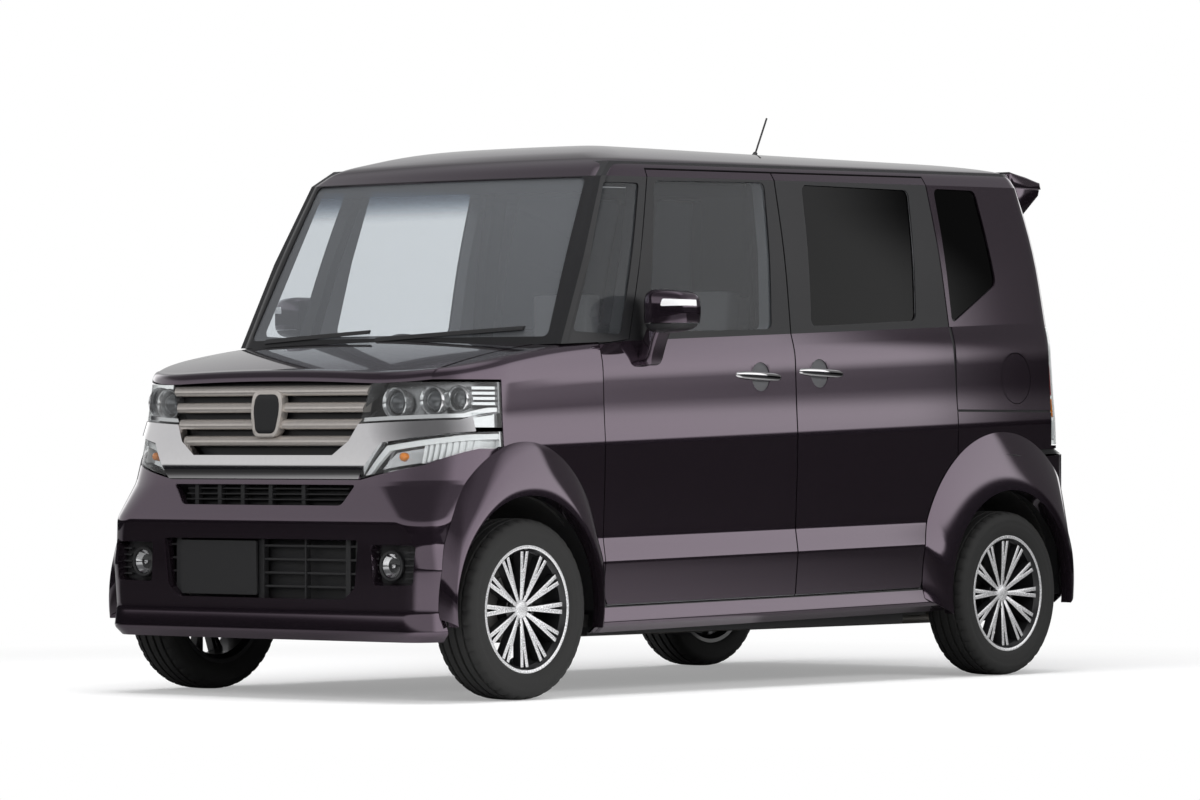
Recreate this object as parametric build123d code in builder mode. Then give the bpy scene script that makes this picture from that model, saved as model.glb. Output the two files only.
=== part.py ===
"""Tall kei wagon: a five-door body on four wheels, built panel by panel.

Frame: +X forward, +Y to the car's left, +Z up. The origin lies on the ground,
midway between the axles and on the centre line. Millimetres.
"""
from math import atan2, degrees, hypot, sqrt
import os

from build123d import *

os.makedirs("parts", exist_ok=True)

# Driving dimensions of the whole car
LENGTH = 3395.0
HEIGHT = 1770.0
BODY_WIDTH = 1475.0
WHEELBASE = 2520.0
TRACK = 1305.0
BELT = 1149.0
FLOOR = 255.0
LOAD_FLOOR = 500.0

# Thicknesses and gaps
WALL = 48.0
FLOOR_T = 40.0
BONNET_T = 26.0
ROOF_T = 30.0
ROOF_RIM = 16.0
GLASS = 5.0
GLASS_SET = 8.0
SHUT_GAP = 6.0
BONNET_GAP = 5.0
SEAT_GAP = 0.3
SEAM = 0.5
RUNNING = 0.05
FAR = 1200.0

# Wheels, tyres and arches
TYRE_RADIUS = 281.0
TYRE_WIDTH = 165.0
RIM_RADIUS = 190.5
RIM_WIDTH = 142.0
HUB_RADIUS = 62.0
HUB_BORE = 27.0
STUB = 40.0
SPOKES = 12
LUGS = 4
LUG_CIRCLE = 100.0
ARCH_RADIUS = 345.0
FLARE_WIDE = 370.0
FLARE_TALL = 469.0
REAR_FLARE_RADIUS = 463.0

HALF = BODY_WIDTH / 2
NOSE_X = LENGTH / 2
TAIL_X = -LENGTH / 2
FRONT_X = WHEELBASE / 2
REAR_X = -WHEELBASE / 2
WHEEL_Y = TRACK / 2
GUTTER = HEIGHT - 115.0
ROOF_EDGE = HEIGHT - 65.0

# Body levels: each row is a plan outline on a plane that climbs to the rear.
# name, height, climb, inset from half width, back from nose, in from tail, corners
LOWER = [
    ("skirt_low", 214, 0.017, 33.5, 20, 22, 90, 100),
    ("skirt_edge", 240, 0.017, 6.5, 2, 0, 105, 115),
    ("sill_top", 300, 0.014, 15.5, 8, 6, 100, 112),
    ("crease_low", 438, 0.019, 3.5, 4, 3, 108, 118),
    ("crease_top", 513, 0.019, 14.5, 3, 2, 110, 118),
    ("ridge", 592, 0.022, 11.5, 0, 0, 125, 120),
    ("bumper_top", 712, 0.030, 7.0, 22, 8, 245, 118),
    ("bumper_ledge", 727, 0.030, 6.8, 24, 46, 255, 110),
    ("crease_mid", 822, 0.032, 4.5, 32, 50, 300, 118),
    ("shoulder", BELT - 64, 0.040, 15.5, 52, 68, 330, 118),
    ("belt", BELT, 0.042, 33.5, 58, 72, 330, 112),
]
SCREEN_BASE = NOSE_X - FRONT_X + 138.0
UPPER = [
    ("belt", BELT, 0.042, 33.5, SCREEN_BASE, 72, 62, 112),
    ("mid_glass", (BELT + GUTTER) / 2 + 8, 0.029, 58.5, SCREEN_BASE + 137, 107, 58, 104),
    ("gutter", GUTTER, 0.017, 103.5, SCREEN_BASE + 272, 165, 56, 96),
    ("roof_edge", ROOF_EDGE, 0.017, 135.5, SCREEN_BASE + 346, 185, 60, 80),
]
ROOM_LEVELS = ("skirt_low", "crease_low", "bumper_top", "crease_mid", "belt")
ROOM = [row for row in LOWER if row[0] in ROOM_LEVELS]
SIDE_BOW = 45000.0
SIDE_MID = -100.0
NOSE_BOW = 12.0
TAIL_BOW = 24.0
SCREEN_BOW = 62.0

# Panel lines along the car
DOOR_FRONT = FRONT_X - 376.0
DOOR_SPLIT = -78.0
SLIDE_REAR = REAR_X + 300.0
LAMP_REAR = NOSE_X - 337.0
BONNET_HALF = 600.0
BONNET_LIP = 986.0
BONNET_REAR = FRONT_X - 110.0
TAIL_LAMP_FRONT = TAIL_X + 160.0
TAILGATE_HALF = 606.0
HINGE_X = TAIL_X + 208.0


def climb(name, x):
    """Height of a named body level at a place along the car."""
    row = next(row for row in LOWER + UPPER[1:] if row[0] == name)
    return row[1] - row[2] * x


def side_y(half, x):
    """Half width of the bowed body side at a place along the car."""
    return half - (SIDE_BOW - sqrt(SIDE_BOW**2 - (x - SIDE_MID) ** 2))


def outline(row, inset, nose_bow, lift=0.0):
    """One closed plan outline of the body: four shallow arcs with rounded corners."""
    name, height, rise, half_in, nose_in, tail_in, nose_corner, tail_corner = row
    plane = Plane((0, 0, height + lift), x_dir=(1, 0, -rise), z_dir=(rise, 0, 1))
    half, front, rear = HALF - half_in - inset, NOSE_X - nose_in - inset, TAIL_X + tail_in + inset
    front_x, rear_x = front - nose_bow, rear + TAIL_BOW
    front_y, rear_y = side_y(half, front_x), side_y(half, rear_x)
    with BuildSketch(plane) as face:
        with BuildLine():
            ThreePointArc((front_x, front_y), (SIDE_MID, half), (rear_x, rear_y))
            ThreePointArc((rear_x, rear_y), (rear, 0), (rear_x, -rear_y))
            ThreePointArc((rear_x, -rear_y), (SIDE_MID, -half), (front_x, -front_y))
            ThreePointArc((front_x, -front_y), (front, 0), (front_x, front_y))
        make_face()
        corners = face.vertices().sort_by(Axis.X)
        fillet(corners[:2], max(tail_corner - inset, 8))
        fillet(corners[2:], max(nose_corner - inset, 8))
    return face.sketch


def stack(rows, inset, nose_bow, past=0.0):
    """Solid body form: the outlines joined level by level, run past the ends if asked."""
    faces = [outline(row, inset, nose_bow) for row in rows]
    if past:
        faces.insert(0, outline(rows[0], inset, nose_bow, lift=-past))
        faces.append(outline(rows[-1], inset, nose_bow, lift=past))
    return loft(faces, ruled=True)


def side_block(points, low=0.0, high=FAR, round_off=0.0, grow=0.0):
    """A block through the car's left side, drawn in side view as x and z."""
    with BuildPart() as block:
        with BuildSketch(Plane.XZ.offset(-low)) as view:
            with BuildLine():
                Polyline(*points, close=True)
            make_face()
            if round_off:
                fillet(view.vertices(), round_off)
            if grow:
                offset(amount=grow, kind=Kind.INTERSECTION)
        extrude(amount=low - high)
    return block.part


def end_block(points, start, stop, round_off=0.0, grow=0.0, both=False):
    """A block through the nose or tail, drawn in end view as y and z."""
    if both:
        points = list(points) + [(-y, z) for y, z in reversed(points)]
    with BuildPart() as block:
        with BuildSketch(Plane.YZ.offset(start)) as view:
            with BuildLine():
                Polyline(*points, close=True)
            make_face()
            if round_off:
                fillet(view.vertices(), round_off)
            if grow:
                offset(amount=grow, kind=Kind.INTERSECTION)
        extrude(amount=stop - start)
    return block.part


def axle_block(x, z, radius, low, high):
    """A round block across the car's left side, low and high along y."""
    with BuildPart() as block:
        with BuildSketch(Plane.XZ.offset(-low)):
            with Locations((x, z)):
                Circle(radius)
        extrude(amount=low - high)
    return block.part


def box(x0, x1, y0, y1, z0, z1):
    """A box between two corners."""
    with BuildPart() as block:
        with Locations(((x0 + x1) / 2, (y0 + y1) / 2, (z0 + z1) / 2)):
            Box(x1 - x0, y1 - y0, z1 - z0)
    return block.part


def above_bonnet(drop):
    """Everything over the bonnet's surface, lowered by a drop."""
    faces = []
    for x, z in ((BONNET_REAR - 130, 1128), (FRONT_X + 140, 1070), (NOSE_X + 60, 978)):
        with BuildSketch(Plane.YZ.offset(x)) as face:
            with BuildLine():
                ThreePointArc((-900, z - 46 - drop), (0, z - drop), (900, z - 46 - drop))
                Polyline((900, z - 46 - drop), (900, 1500), (-900, 1500), (-900, z - 46 - drop))
            make_face()
        faces.append(face.sketch)
    return loft(faces)


def flipped(part):
    """The same piece on the other side of the car."""
    return part.mirror(Plane.XZ)


def save(block, name):
    """Label a finished piece and write it."""
    block.part.label = name
    export_step(block.part, f"parts/{name}.step")


# The body form, its hollow, and the left half of the shell between them
bonnet_over = above_bonnet(0)
bonnet_under = above_bonnet(BONNET_T)
lower_form = stack(LOWER, 0, NOSE_BOW) - bonnet_over
lower_room = stack(ROOM, WALL, NOSE_BOW, past=60) - bonnet_under
upper_form = stack(UPPER, 0, SCREEN_BOW)
upper_room = stack(UPPER, WALL, SCREEN_BOW, past=60)
left_side = box(-2500, 2500, 0, FAR, -10, 2500)
lower_shell = (lower_form - lower_room) & left_side
upper_shell = (upper_form - upper_room) & left_side
left_shell = lower_shell + upper_shell

front_well = axle_block(FRONT_X + 3, TYRE_RADIUS + 7, ARCH_RADIUS, WHEEL_Y - 257, FAR)
rear_well = axle_block(REAR_X, TYRE_RADIUS + 9, ARCH_RADIUS, WHEEL_Y - 182, FAR)

# Side view outlines of the openings
door_top = [(x, climb("roof_edge", x) - 27) for x in (DOOR_SPLIT, DOOR_FRONT - 320)]
front_door_line = [
    (DOOR_SPLIT + SHUT_GAP / 2, climb("sill_top", DOOR_SPLIT) - 4),
    (DOOR_FRONT - 22, climb("sill_top", DOOR_FRONT) - 4),
    (DOOR_FRONT, climb("sill_top", DOOR_FRONT) + 34),
    (DOOR_FRONT, climb("belt", DOOR_FRONT) - 8),
    (DOOR_FRONT - 146, climb("belt", DOOR_FRONT - 146) + 2),
    (DOOR_FRONT - 324, door_top[1][1]),
    (DOOR_SPLIT + SHUT_GAP / 2, door_top[0][1]),
]
slide_door_line = [
    (DOOR_SPLIT - SHUT_GAP / 2, climb("sill_top", DOOR_SPLIT) - 4),
    (DOOR_SPLIT - SHUT_GAP / 2, climb("roof_edge", DOOR_SPLIT) - 27),
    (SLIDE_REAR + 48, climb("roof_edge", SLIDE_REAR) - 27),
    (SLIDE_REAR + 8, climb("belt", SLIDE_REAR)),
    (SLIDE_REAR - 8, 900),
    (SLIDE_REAR - 8, 740),
    (SLIDE_REAR + 200, climb("sill_top", SLIDE_REAR) - 4),
]
front_window_line = [
    (20, climb("belt", 20) + 18),
    (DOOR_FRONT - 238, climb("belt", DOOR_FRONT - 238) + 26),
    (DOOR_FRONT - 345, climb("gutter", DOOR_FRONT - 345) - 12),
    (-24, climb("gutter", -24) - 8),
]
slide_window_line = [
    (-190, climb("belt", -190) + 22),
    (-220, climb("gutter", -220) - 12),
    (SLIDE_REAR + 150, climb("gutter", SLIDE_REAR) - 22),
    (SLIDE_REAR + 190, climb("belt", SLIDE_REAR) + 18),
]
rear_window_line = [
    (SLIDE_REAR - 16, climb("belt", SLIDE_REAR) + 10),
    (SLIDE_REAR + 4, climb("gutter", SLIDE_REAR) - 12),
    (SLIDE_REAR - 240, climb("gutter", SLIDE_REAR) - 10),
    (SLIDE_REAR - 296, climb("gutter", SLIDE_REAR) - 330),
]
corner_window_line = [
    (DOOR_FRONT + 118, climb("belt", DOOR_FRONT) + 32),
    (DOOR_FRONT - 108, climb("belt", DOOR_FRONT) + 26),
    (DOOR_FRONT - 270, climb("gutter", DOOR_FRONT) - 16),
    (DOOR_FRONT - 104, climb("gutter", DOOR_FRONT) - 18),
]
screen_line = [
    (HALF - 99, climb("belt", FRONT_X) + 32),
    (HALF - 162, climb("gutter", FRONT_X - 400) - 2),
]
tailgate_line = [
    (TAILGATE_HALF - 6, climb("bumper_top", TAIL_X) + 8),
    (TAILGATE_HALF, climb("belt", TAIL_X)),
    (TAILGATE_HALF - 44, climb("roof_edge", TAIL_X) + 30),
]
tail_glass_line = [
    (TAILGATE_HALF - 66, climb("belt", TAIL_X) + 38),
    (TAILGATE_HALF - 108, climb("gutter", TAIL_X) - 14),
]
tail_lamp_line = [
    (TAILGATE_HALF + 6, climb("bumper_ledge", TAIL_X) + 10),
    (HALF + 40, climb("bumper_ledge", TAIL_X) + 10),
    (HALF + 40, climb("belt", TAIL_X) - 20),
    (TAILGATE_HALF + 6, climb("belt", TAIL_X) - 20),
]
front_door_hole = side_block(front_door_line, grow=SHUT_GAP / 2)
slide_door_hole = side_block(slide_door_line, grow=SHUT_GAP / 2)
rear_flare_gap = axle_block(REAR_X + 25, 370, REAR_FLARE_RADIUS + SHUT_GAP, 0, FAR)
rear_flare_disc = axle_block(REAR_X + 25, 370, REAR_FLARE_RADIUS, 0, FAR)
front_window = side_block(front_window_line, round_off=24)
slide_window = side_block(slide_window_line, round_off=24)
rear_window = side_block(rear_window_line, round_off=24)
corner_window = side_block(corner_window_line, round_off=14)
screen_hole = end_block(screen_line, FRONT_X - 640, NOSE_X, round_off=20, both=True)
tailgate_hole = end_block(tailgate_line, TAIL_X - 60, HINGE_X + 6, grow=SHUT_GAP, both=True)
tail_glass_hole = end_block(tail_glass_line, TAIL_X - 60, HINGE_X, round_off=40, both=True)
tail_lamp_hole = end_block(tail_lamp_line, TAIL_X - 60, TAIL_LAMP_FRONT)

# End view outlines of the nose pieces
LAMP_TOP = BONNET_LIP - 4.0
GRILLE = [(421, LAMP_TOP), (385, 853), (356, 800), (296, 757)]
HEAD_LAMP = [(421, LAMP_TOP), (385, 853), (664, 866), (697, 884), (800, 886), (800, LAMP_TOP)]
LOW_LAMP = [(405, 684), (482, 795), (664, 826), (800, 845), (800, 780), (698, 780), (605, 729)]
GARNISH = [(0, 676), (405, 684), (482, 795), (664, 826), (800, 845), (800, 886), (697, 884),
           (664, 866), (385, 853), (356, 800), (296, 757), (0, 757)]
CHIN = [(0, 676), (405, 684), (605, 729), (698, 780), (800, 780), (800, 100), (0, 100)]
INTAKE = [(388, 668), (338, 601)]
LOW_INTAKE = [(415, 498), (400, 350), (354, 312)]
FOG_BEZEL = [(464, 484), (641, 486), (633, 358), (472, 356)]
FOG_Y, FOG_Z, FOG_RADIUS = 527.0, 420.0, 36.0
PLATE_Y, PLATE_Z = -186.0, 407.0
PLATE_W, PLATE_H, PLATE_HOLES, PLATE_HOLE_R = 330.0, 165.0, 210.0, 3.5

LAMP_END = 104.0
lamp_end = box(LAMP_REAR, LAMP_REAR + LAMP_END, 300, FAR, 783, LAMP_TOP)
bumper_cut = side_block(
    [(LAMP_REAR + 8, 100), (LAMP_REAR + 8, 640), (LAMP_REAR + 22, 790), (2200, 790), (2200, 100)]
)

with BuildPart() as bonnet_zone:
    with BuildSketch(Plane.XY.offset(BONNET_LIP)):
        with BuildLine():
            Polyline((BONNET_REAR - 58, BONNET_HALF), (NOSE_X + 50, BONNET_HALF))
            Polyline((NOSE_X + 50, BONNET_HALF), (NOSE_X + 50, -BONNET_HALF))
            Polyline((NOSE_X + 50, -BONNET_HALF), (BONNET_REAR - 58, -BONNET_HALF))
            ThreePointArc(
                (BONNET_REAR - 58, -BONNET_HALF), (BONNET_REAR, 0), (BONNET_REAR - 58, BONNET_HALF)
            )
        make_face()
    extrude(amount=400)

with BuildPart() as bonnet_gap_zone:
    add(bonnet_zone.part)
    offset(amount=BONNET_GAP, kind=Kind.INTERSECTION)
with BuildPart() as bonnet_seat_zone:
    add(bonnet_zone.part)
    offset(amount=SEAT_GAP, kind=Kind.INTERSECTION)

# Bonnet: the lid over the engine, as one curved slab
with BuildPart() as bonnet:
    add(lower_form)
    add(lower_room, mode=Mode.SUBTRACT)
    add(bonnet_zone.part, mode=Mode.INTERSECT)
save(bonnet, "bonnet")


def flare(x, z, wide, tall):
    """A swelling round a wheel arch: an oval that leans out to a smaller oval."""
    faces = []
    for y, scale_x, scale_z in ((HALF - 34, 1.0, 1.0), (HALF, 0.955, 0.835)):
        with BuildSketch(Plane.XZ.offset(-y)) as face:
            with Locations((x, z)):
                Ellipse(wide * scale_x, tall * scale_z)
        faces.append(face.sketch)
    return loft(faces)


front_flare = flare(FRONT_X - 1, 330, FLARE_WIDE, FLARE_TALL)
front_flare = front_flare & box(DOOR_FRONT + SHUT_GAP / 2, 2000, 0, FAR, 216, 1000)
rear_flare = flare(REAR_X + 25, 370, REAR_FLARE_RADIUS, REAR_FLARE_RADIUS)
rear_flare = rear_flare & box(-1650, 0, 0, FAR, 262, 1000)
seam_front, seam_rear = climb("bumper_top", SLIDE_REAR + 200), climb("bumper_top", TAIL_X - 50)
rear_low = side_block(
    [(TAIL_X - 50, 0), (TAIL_X - 50, seam_rear), (SLIDE_REAR + 200, seam_front), (SLIDE_REAR + 200, 0)]
)
rear_bumper_zone = rear_low & (box(TAIL_X - 50, REAR_X, 0, FAR, 0, 1000) + rear_flare_disc)

# Front fender, left and right: side skin, shoulder and half the arch flare
with BuildPart() as fender_left:
    add(lower_shell)
    add(front_flare)
    add(box(DOOR_FRONT + SHUT_GAP / 2, NOSE_X + 50, 0, FAR, 0, 1400), mode=Mode.INTERSECT)
    add(box(0, NOSE_X + 50, 0, BONNET_HALF + 5, 0, 1400), mode=Mode.SUBTRACT)
    add(bumper_cut, mode=Mode.SUBTRACT)
    add(box(LAMP_REAR - 4, NOSE_X + 50, 0, FAR, 779, LAMP_TOP + 4), mode=Mode.SUBTRACT)
    add(front_well, mode=Mode.SUBTRACT)
save(fender_left, "fender_left")
with BuildPart() as fender_right:
    add(flipped(fender_left.part))
save(fender_right, "fender_right")

# Front bumper: one skin from arch to arch, with its openings and lamp pockets
chin = end_block(CHIN, LAMP_REAR + 12, NOSE_X + 50)
with BuildPart() as bumper_half:
    add(lower_shell)
    add(front_flare & bumper_cut)
    add(chin, mode=Mode.INTERSECT)
    add(bumper_cut, mode=Mode.INTERSECT)
    add(front_well, mode=Mode.SUBTRACT)
intake = end_block(INTAKE, LAMP_REAR, NOSE_X + 50, round_off=12, both=True)
low_intake = end_block(LOW_INTAKE, LAMP_REAR, NOSE_X + 50, round_off=14, both=True)
fog_bezel = end_block(FOG_BEZEL, LAMP_REAR, NOSE_X + 50, round_off=14)
with BuildPart() as front_bumper:
    add(bumper_half.part)
    add(flipped(bumper_half.part))
    add(intake, mode=Mode.SUBTRACT)
    add(low_intake, mode=Mode.SUBTRACT)
    add(fog_bezel, mode=Mode.SUBTRACT)
    add(flipped(fog_bezel), mode=Mode.SUBTRACT)
save(front_bumper, "front_bumper")

# Head lamps: the upper and lower lamp of each side, joined at the outer end
with BuildPart() as lamp_left:
    add(end_block(HEAD_LAMP, LAMP_REAR, NOSE_X + 50, grow=-SEAM))
    add(end_block(LOW_LAMP, LAMP_REAR + 30, NOSE_X + 50, grow=-SEAM))
    add(lamp_end)
    add(lower_shell, mode=Mode.INTERSECT)
with BuildPart() as head_lamps:
    add(lamp_left.part)
    add(flipped(lamp_left.part))
save(head_lamps, "head_lamps")

# Garnish: the bright band that runs under the grille and out between the lamps
with BuildPart() as garnish_half:
    add(end_block(GARNISH, LAMP_REAR + LAMP_END + 2, NOSE_X + 50))
    add(lower_shell, mode=Mode.INTERSECT)
with BuildPart() as garnish:
    add(garnish_half.part)
    add(flipped(garnish_half.part))
save(garnish, "garnish")

# Grille: a dark backing with level bars in front and a plain boss in the middle
BARS = 5
BAR_PITCH = 44.0
grille_zone = end_block(GRILLE, NOSE_X - 190, NOSE_X + 50, both=True, grow=-SEAM)
bar_front = stack(LOWER[6:], 8, NOSE_BOW)
bar_back = stack(LOWER[6:], 34, NOSE_BOW)
with BuildPart() as grille:
    add(bar_front)
    for bar in range(BARS + 1):
        z = 770 + bar * BAR_PITCH
        add(box(1400, 2000, -500, 500, z, z + 18), mode=Mode.SUBTRACT)
    add(bar_back)
    add(lower_room, mode=Mode.SUBTRACT)
    add(grille_zone, mode=Mode.INTERSECT)
    with Locations(Location((NOSE_X - 70, 0, 872), (0, 90, 0))):
        Cylinder(52, 60)
save(grille, "grille")

# Black inserts: both intakes, the lamp bezels and the blank plate with its two holes
with BuildPart() as bezel:
    add(fog_bezel)
    with Locations(Location((NOSE_X - 40, FOG_Y, FOG_Z), (0, 90, 0))):
        Cylinder(FOG_RADIUS + SEAT_GAP, 200, mode=Mode.SUBTRACT)
insert_front = stack(LOWER[2:8], 34, NOSE_BOW)
with BuildPart() as inserts:
    add(insert_front)
    add(lower_room, mode=Mode.SUBTRACT)
    add(intake + low_intake + bezel.part + flipped(bezel.part), mode=Mode.INTERSECT)
    add(box(NOSE_X - 46, NOSE_X - 6, PLATE_Y - PLATE_W / 2, PLATE_Y + PLATE_W / 2,
            PLATE_Z - PLATE_H / 2, PLATE_Z + PLATE_H / 2) & low_intake)
    with Locations(Location((NOSE_X + 10, PLATE_Y, PLATE_Z + PLATE_H / 2 - 22), (0, 90, 0))):
        with GridLocations(0, PLATE_HOLES, 1, 2):
            Hole(PLATE_HOLE_R, depth=90)
save(inserts, "inserts")

# Fog lamps: two round lamps seated in their bezels
with BuildPart() as fog_lamps:
    for side in (1, -1):
        with Locations(Location((NOSE_X - 44, side * FOG_Y, FOG_Z), (0, 90, 0))):
            Cylinder(FOG_RADIUS, 60)
save(fog_lamps, "fog_lamps")

# Body side: sill, pillars, roof rail and rear quarter in one pressing
HEADER_HALF = HALF - 200.0
TAB_Y = HEADER_HALF - 30.0
POST_HALF = 34.0
cowl_zone = box(0, NOSE_X, -HEADER_HALF, HEADER_HALF, BELT - 80, BELT + 60)
header_zone = box(0, NOSE_X, -HEADER_HALF, HEADER_HALF, GUTTER - 60, HEIGHT)
post_room = stack(ROOM, WALL + 42, NOSE_BOW, past=60)
post_out = stack(ROOM, WALL + 6, NOSE_BOW) + stack(UPPER, WALL + 6, SCREEN_BOW)
post_in = post_room + stack(UPPER, WALL + 42, SCREEN_BOW, past=60)
with BuildPart() as middle_post:
    add(post_out)
    add(post_in, mode=Mode.SUBTRACT)
    add(box(DOOR_SPLIT - POST_HALF, DOOR_SPLIT + POST_HALF, 0, FAR, 210, ROOF_EDGE - 2),
        mode=Mode.INTERSECT)
    add(box(DOOR_SPLIT - POST_HALF, DOOR_SPLIT + POST_HALF, HALF - 210, HALF - 145,
            ROOF_EDGE - 18, ROOF_EDGE - 2))
with BuildPart() as inner_sill:
    add(lower_room)
    add(post_room, mode=Mode.SUBTRACT)
    add(box(SLIDE_REAR + 200, DOOR_FRONT - 3, 0, FAR, 190, 290), mode=Mode.INTERSECT)
lid_x, lid_z, LID_RADIUS, LID_T = REAR_X - 64, 1018.0, 86.0, 10.0
lid_hole = axle_block(lid_x, lid_z, LID_RADIUS + SHUT_GAP, 0, FAR)
with BuildPart() as body_side_both:
    add(lower_shell)
    add(rear_flare)
    add(box(TAIL_X - 60, DOOR_FRONT - 3, 0, FAR, 0, 1400), mode=Mode.INTERSECT)
    add(upper_shell)
    add(front_door_hole, mode=Mode.SUBTRACT)
    add(slide_door_hole, mode=Mode.SUBTRACT)
    add(rear_bumper_zone, mode=Mode.SUBTRACT)
    add(tailgate_hole, mode=Mode.SUBTRACT)
    add(tail_lamp_hole, mode=Mode.SUBTRACT)
    add(screen_hole, mode=Mode.SUBTRACT)
    add(header_zone, mode=Mode.SUBTRACT)
    add(box(TAIL_X - 60, TAIL_X + 200, 0, TAILGATE_HALF, 0, 1000), mode=Mode.SUBTRACT)
    add(cowl_zone, mode=Mode.SUBTRACT)
    add(corner_window, mode=Mode.SUBTRACT)
    add(rear_window, mode=Mode.SUBTRACT)
    add(rear_well, mode=Mode.SUBTRACT)
    add(inner_sill.part)
    add(middle_post.part)
with BuildPart() as body_side_left:
    add(body_side_both.part)
    add(lid_hole, mode=Mode.SUBTRACT)
    add(axle_block(lid_x, lid_z, LID_RADIUS + 14, HALF - 100, HALF - 62))
    lid_edge = lid_x + LID_RADIUS
    add(box(lid_edge + SEAT_GAP, lid_edge + 20, HALF - 66, HALF - 28, lid_z - 8, lid_z + 8))
save(body_side_left, "body_side_left")
with BuildPart() as body_side_right:
    add(flipped(body_side_both.part))
save(body_side_right, "body_side_right")

# Fuel lid: a round flap flush with the left rear quarter
lid_out = stack(LOWER[8:10], 0, NOSE_BOW)
lid_in = stack(LOWER[8:10], LID_T, NOSE_BOW)
with BuildPart() as fuel_lid:
    add(axle_block(lid_x, lid_z, LID_RADIUS, HALF - 80, FAR))
    add(lid_out, mode=Mode.INTERSECT)
    add(lid_in, mode=Mode.SUBTRACT)
save(fuel_lid, "fuel_lid")

# Front doors: full thickness with the window cut out, and the pane in the opening
with BuildPart() as front_door_left:
    add(left_shell)
    add(side_block(front_door_line), mode=Mode.INTERSECT)
    add(front_window, mode=Mode.SUBTRACT)
save(front_door_left, "front_door_left")
with BuildPart() as front_door_right:
    add(flipped(front_door_left.part))
save(front_door_right, "front_door_right")

pane_out = stack(UPPER, GLASS_SET, SCREEN_BOW, past=40)
pane_in = stack(UPPER, GLASS_SET + GLASS, SCREEN_BOW, past=50)
with BuildPart() as front_glass_left:
    add(pane_out)
    add(pane_in, mode=Mode.SUBTRACT)
    add(side_block(front_window_line, round_off=24, grow=-SEAT_GAP), mode=Mode.INTERSECT)
save(front_glass_left, "front_glass_left")
with BuildPart() as front_glass_right:
    add(flipped(front_glass_left.part))
save(front_glass_right, "front_glass_right")

# Sliding doors behind, fixed in their closed place
with BuildPart() as slide_door_left:
    add(left_shell)
    add(side_block(slide_door_line), mode=Mode.INTERSECT)
    add(rear_flare_gap & box(TAIL_X, 0, 0, FAR, 0, seam_front + 30), mode=Mode.SUBTRACT)
    add(slide_window, mode=Mode.SUBTRACT)
    add(box(SLIDE_REAR - 8 - SHUT_GAP / 2, SLIDE_REAR + 4, HALF - 46, HALF - 26, 800, 840))
save(slide_door_left, "slide_door_left")
with BuildPart() as slide_door_right:
    add(flipped(slide_door_left.part))
save(slide_door_right, "slide_door_right")

# Fixed glass: windscreen with the two corner panes, and the dark panes behind
with BuildPart() as windscreen:
    add(pane_out)
    add(pane_in, mode=Mode.SUBTRACT)
    add(end_block(screen_line, FRONT_X - 640, NOSE_X, round_off=20, both=True, grow=-SEAT_GAP)
        + side_block(corner_window_line, round_off=14, grow=-SEAT_GAP)
        + flipped(side_block(corner_window_line, round_off=14, grow=-SEAT_GAP)), mode=Mode.INTERSECT)
save(windscreen, "windscreen")
dark_left = side_block(slide_window_line, round_off=24, grow=-SEAT_GAP)
dark_left = dark_left + side_block(rear_window_line, round_off=24, grow=-SEAT_GAP)
with BuildPart() as dark_glass:
    add(pane_out)
    add(pane_in, mode=Mode.SUBTRACT)
    add(dark_left + flipped(dark_left), mode=Mode.INTERSECT)
save(dark_glass, "dark_glass")

# Tailgate: the whole rear door with its spoiler, and its pane
SPOILER_HALF = TAILGATE_HALF - 46.0
EAR_WIDE = 46.0
SPOILER = [(HINGE_X - 6, ROOF_EDGE + 34), (TAIL_X + 22, HEIGHT - 64), (TAIL_X + 14, HEIGHT - 86),
           (TAIL_X + 150, HEIGHT - 98), (HINGE_X - 6, HEIGHT - 98)]
SPOILER_EAR = [(HINGE_X - 10, HEIGHT - 92), (TAIL_X + 24, HEIGHT - 88), (TAIL_X + 30, HEIGHT - 108),
               (TAIL_X + 138, HEIGHT - 190), (TAIL_X + 172, HEIGHT - 190)]
spoiler_ear = side_block(SPOILER_EAR, low=SPOILER_HALF - EAR_WIDE, high=SPOILER_HALF)
gate_half = left_shell & end_block(tailgate_line, TAIL_X - 60, HINGE_X - 6, both=True)
with BuildPart() as tailgate:
    add(gate_half)
    add(flipped(gate_half))
    add(tail_glass_hole, mode=Mode.SUBTRACT)
    with BuildSketch(Plane.XZ.offset(SPOILER_HALF)):
        with BuildLine():
            Polyline(*SPOILER, close=True)
        make_face()
    extrude(amount=-2 * SPOILER_HALF)
    add(spoiler_ear)
    add(flipped(spoiler_ear))
    with Locations(Location((TAIL_X + 160, 0, 900), (0, 90, 0))):
        with GridLocations(0, PLATE_HOLES, 1, 2):
            Hole(PLATE_HOLE_R, depth=220)
save(tailgate, "tailgate")
with BuildPart() as tail_glass:
    add(pane_out)
    add(pane_in, mode=Mode.SUBTRACT)
    add(end_block(tail_glass_line, TAIL_X - 60, HINGE_X - 6, round_off=40, both=True, grow=-SEAT_GAP),
        mode=Mode.INTERSECT)
save(tail_glass, "tail_glass")

# Tail lamps: upright strips that wrap the rear corners
with BuildPart() as tail_lamp_left:
    add(lower_shell)
    add(end_block(tail_lamp_line, TAIL_X - 60, TAIL_LAMP_FRONT, grow=-3), mode=Mode.INTERSECT)
with BuildPart() as tail_lamps:
    add(tail_lamp_left.part)
    add(flipped(tail_lamp_left.part))
save(tail_lamps, "tail_lamps")

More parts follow.
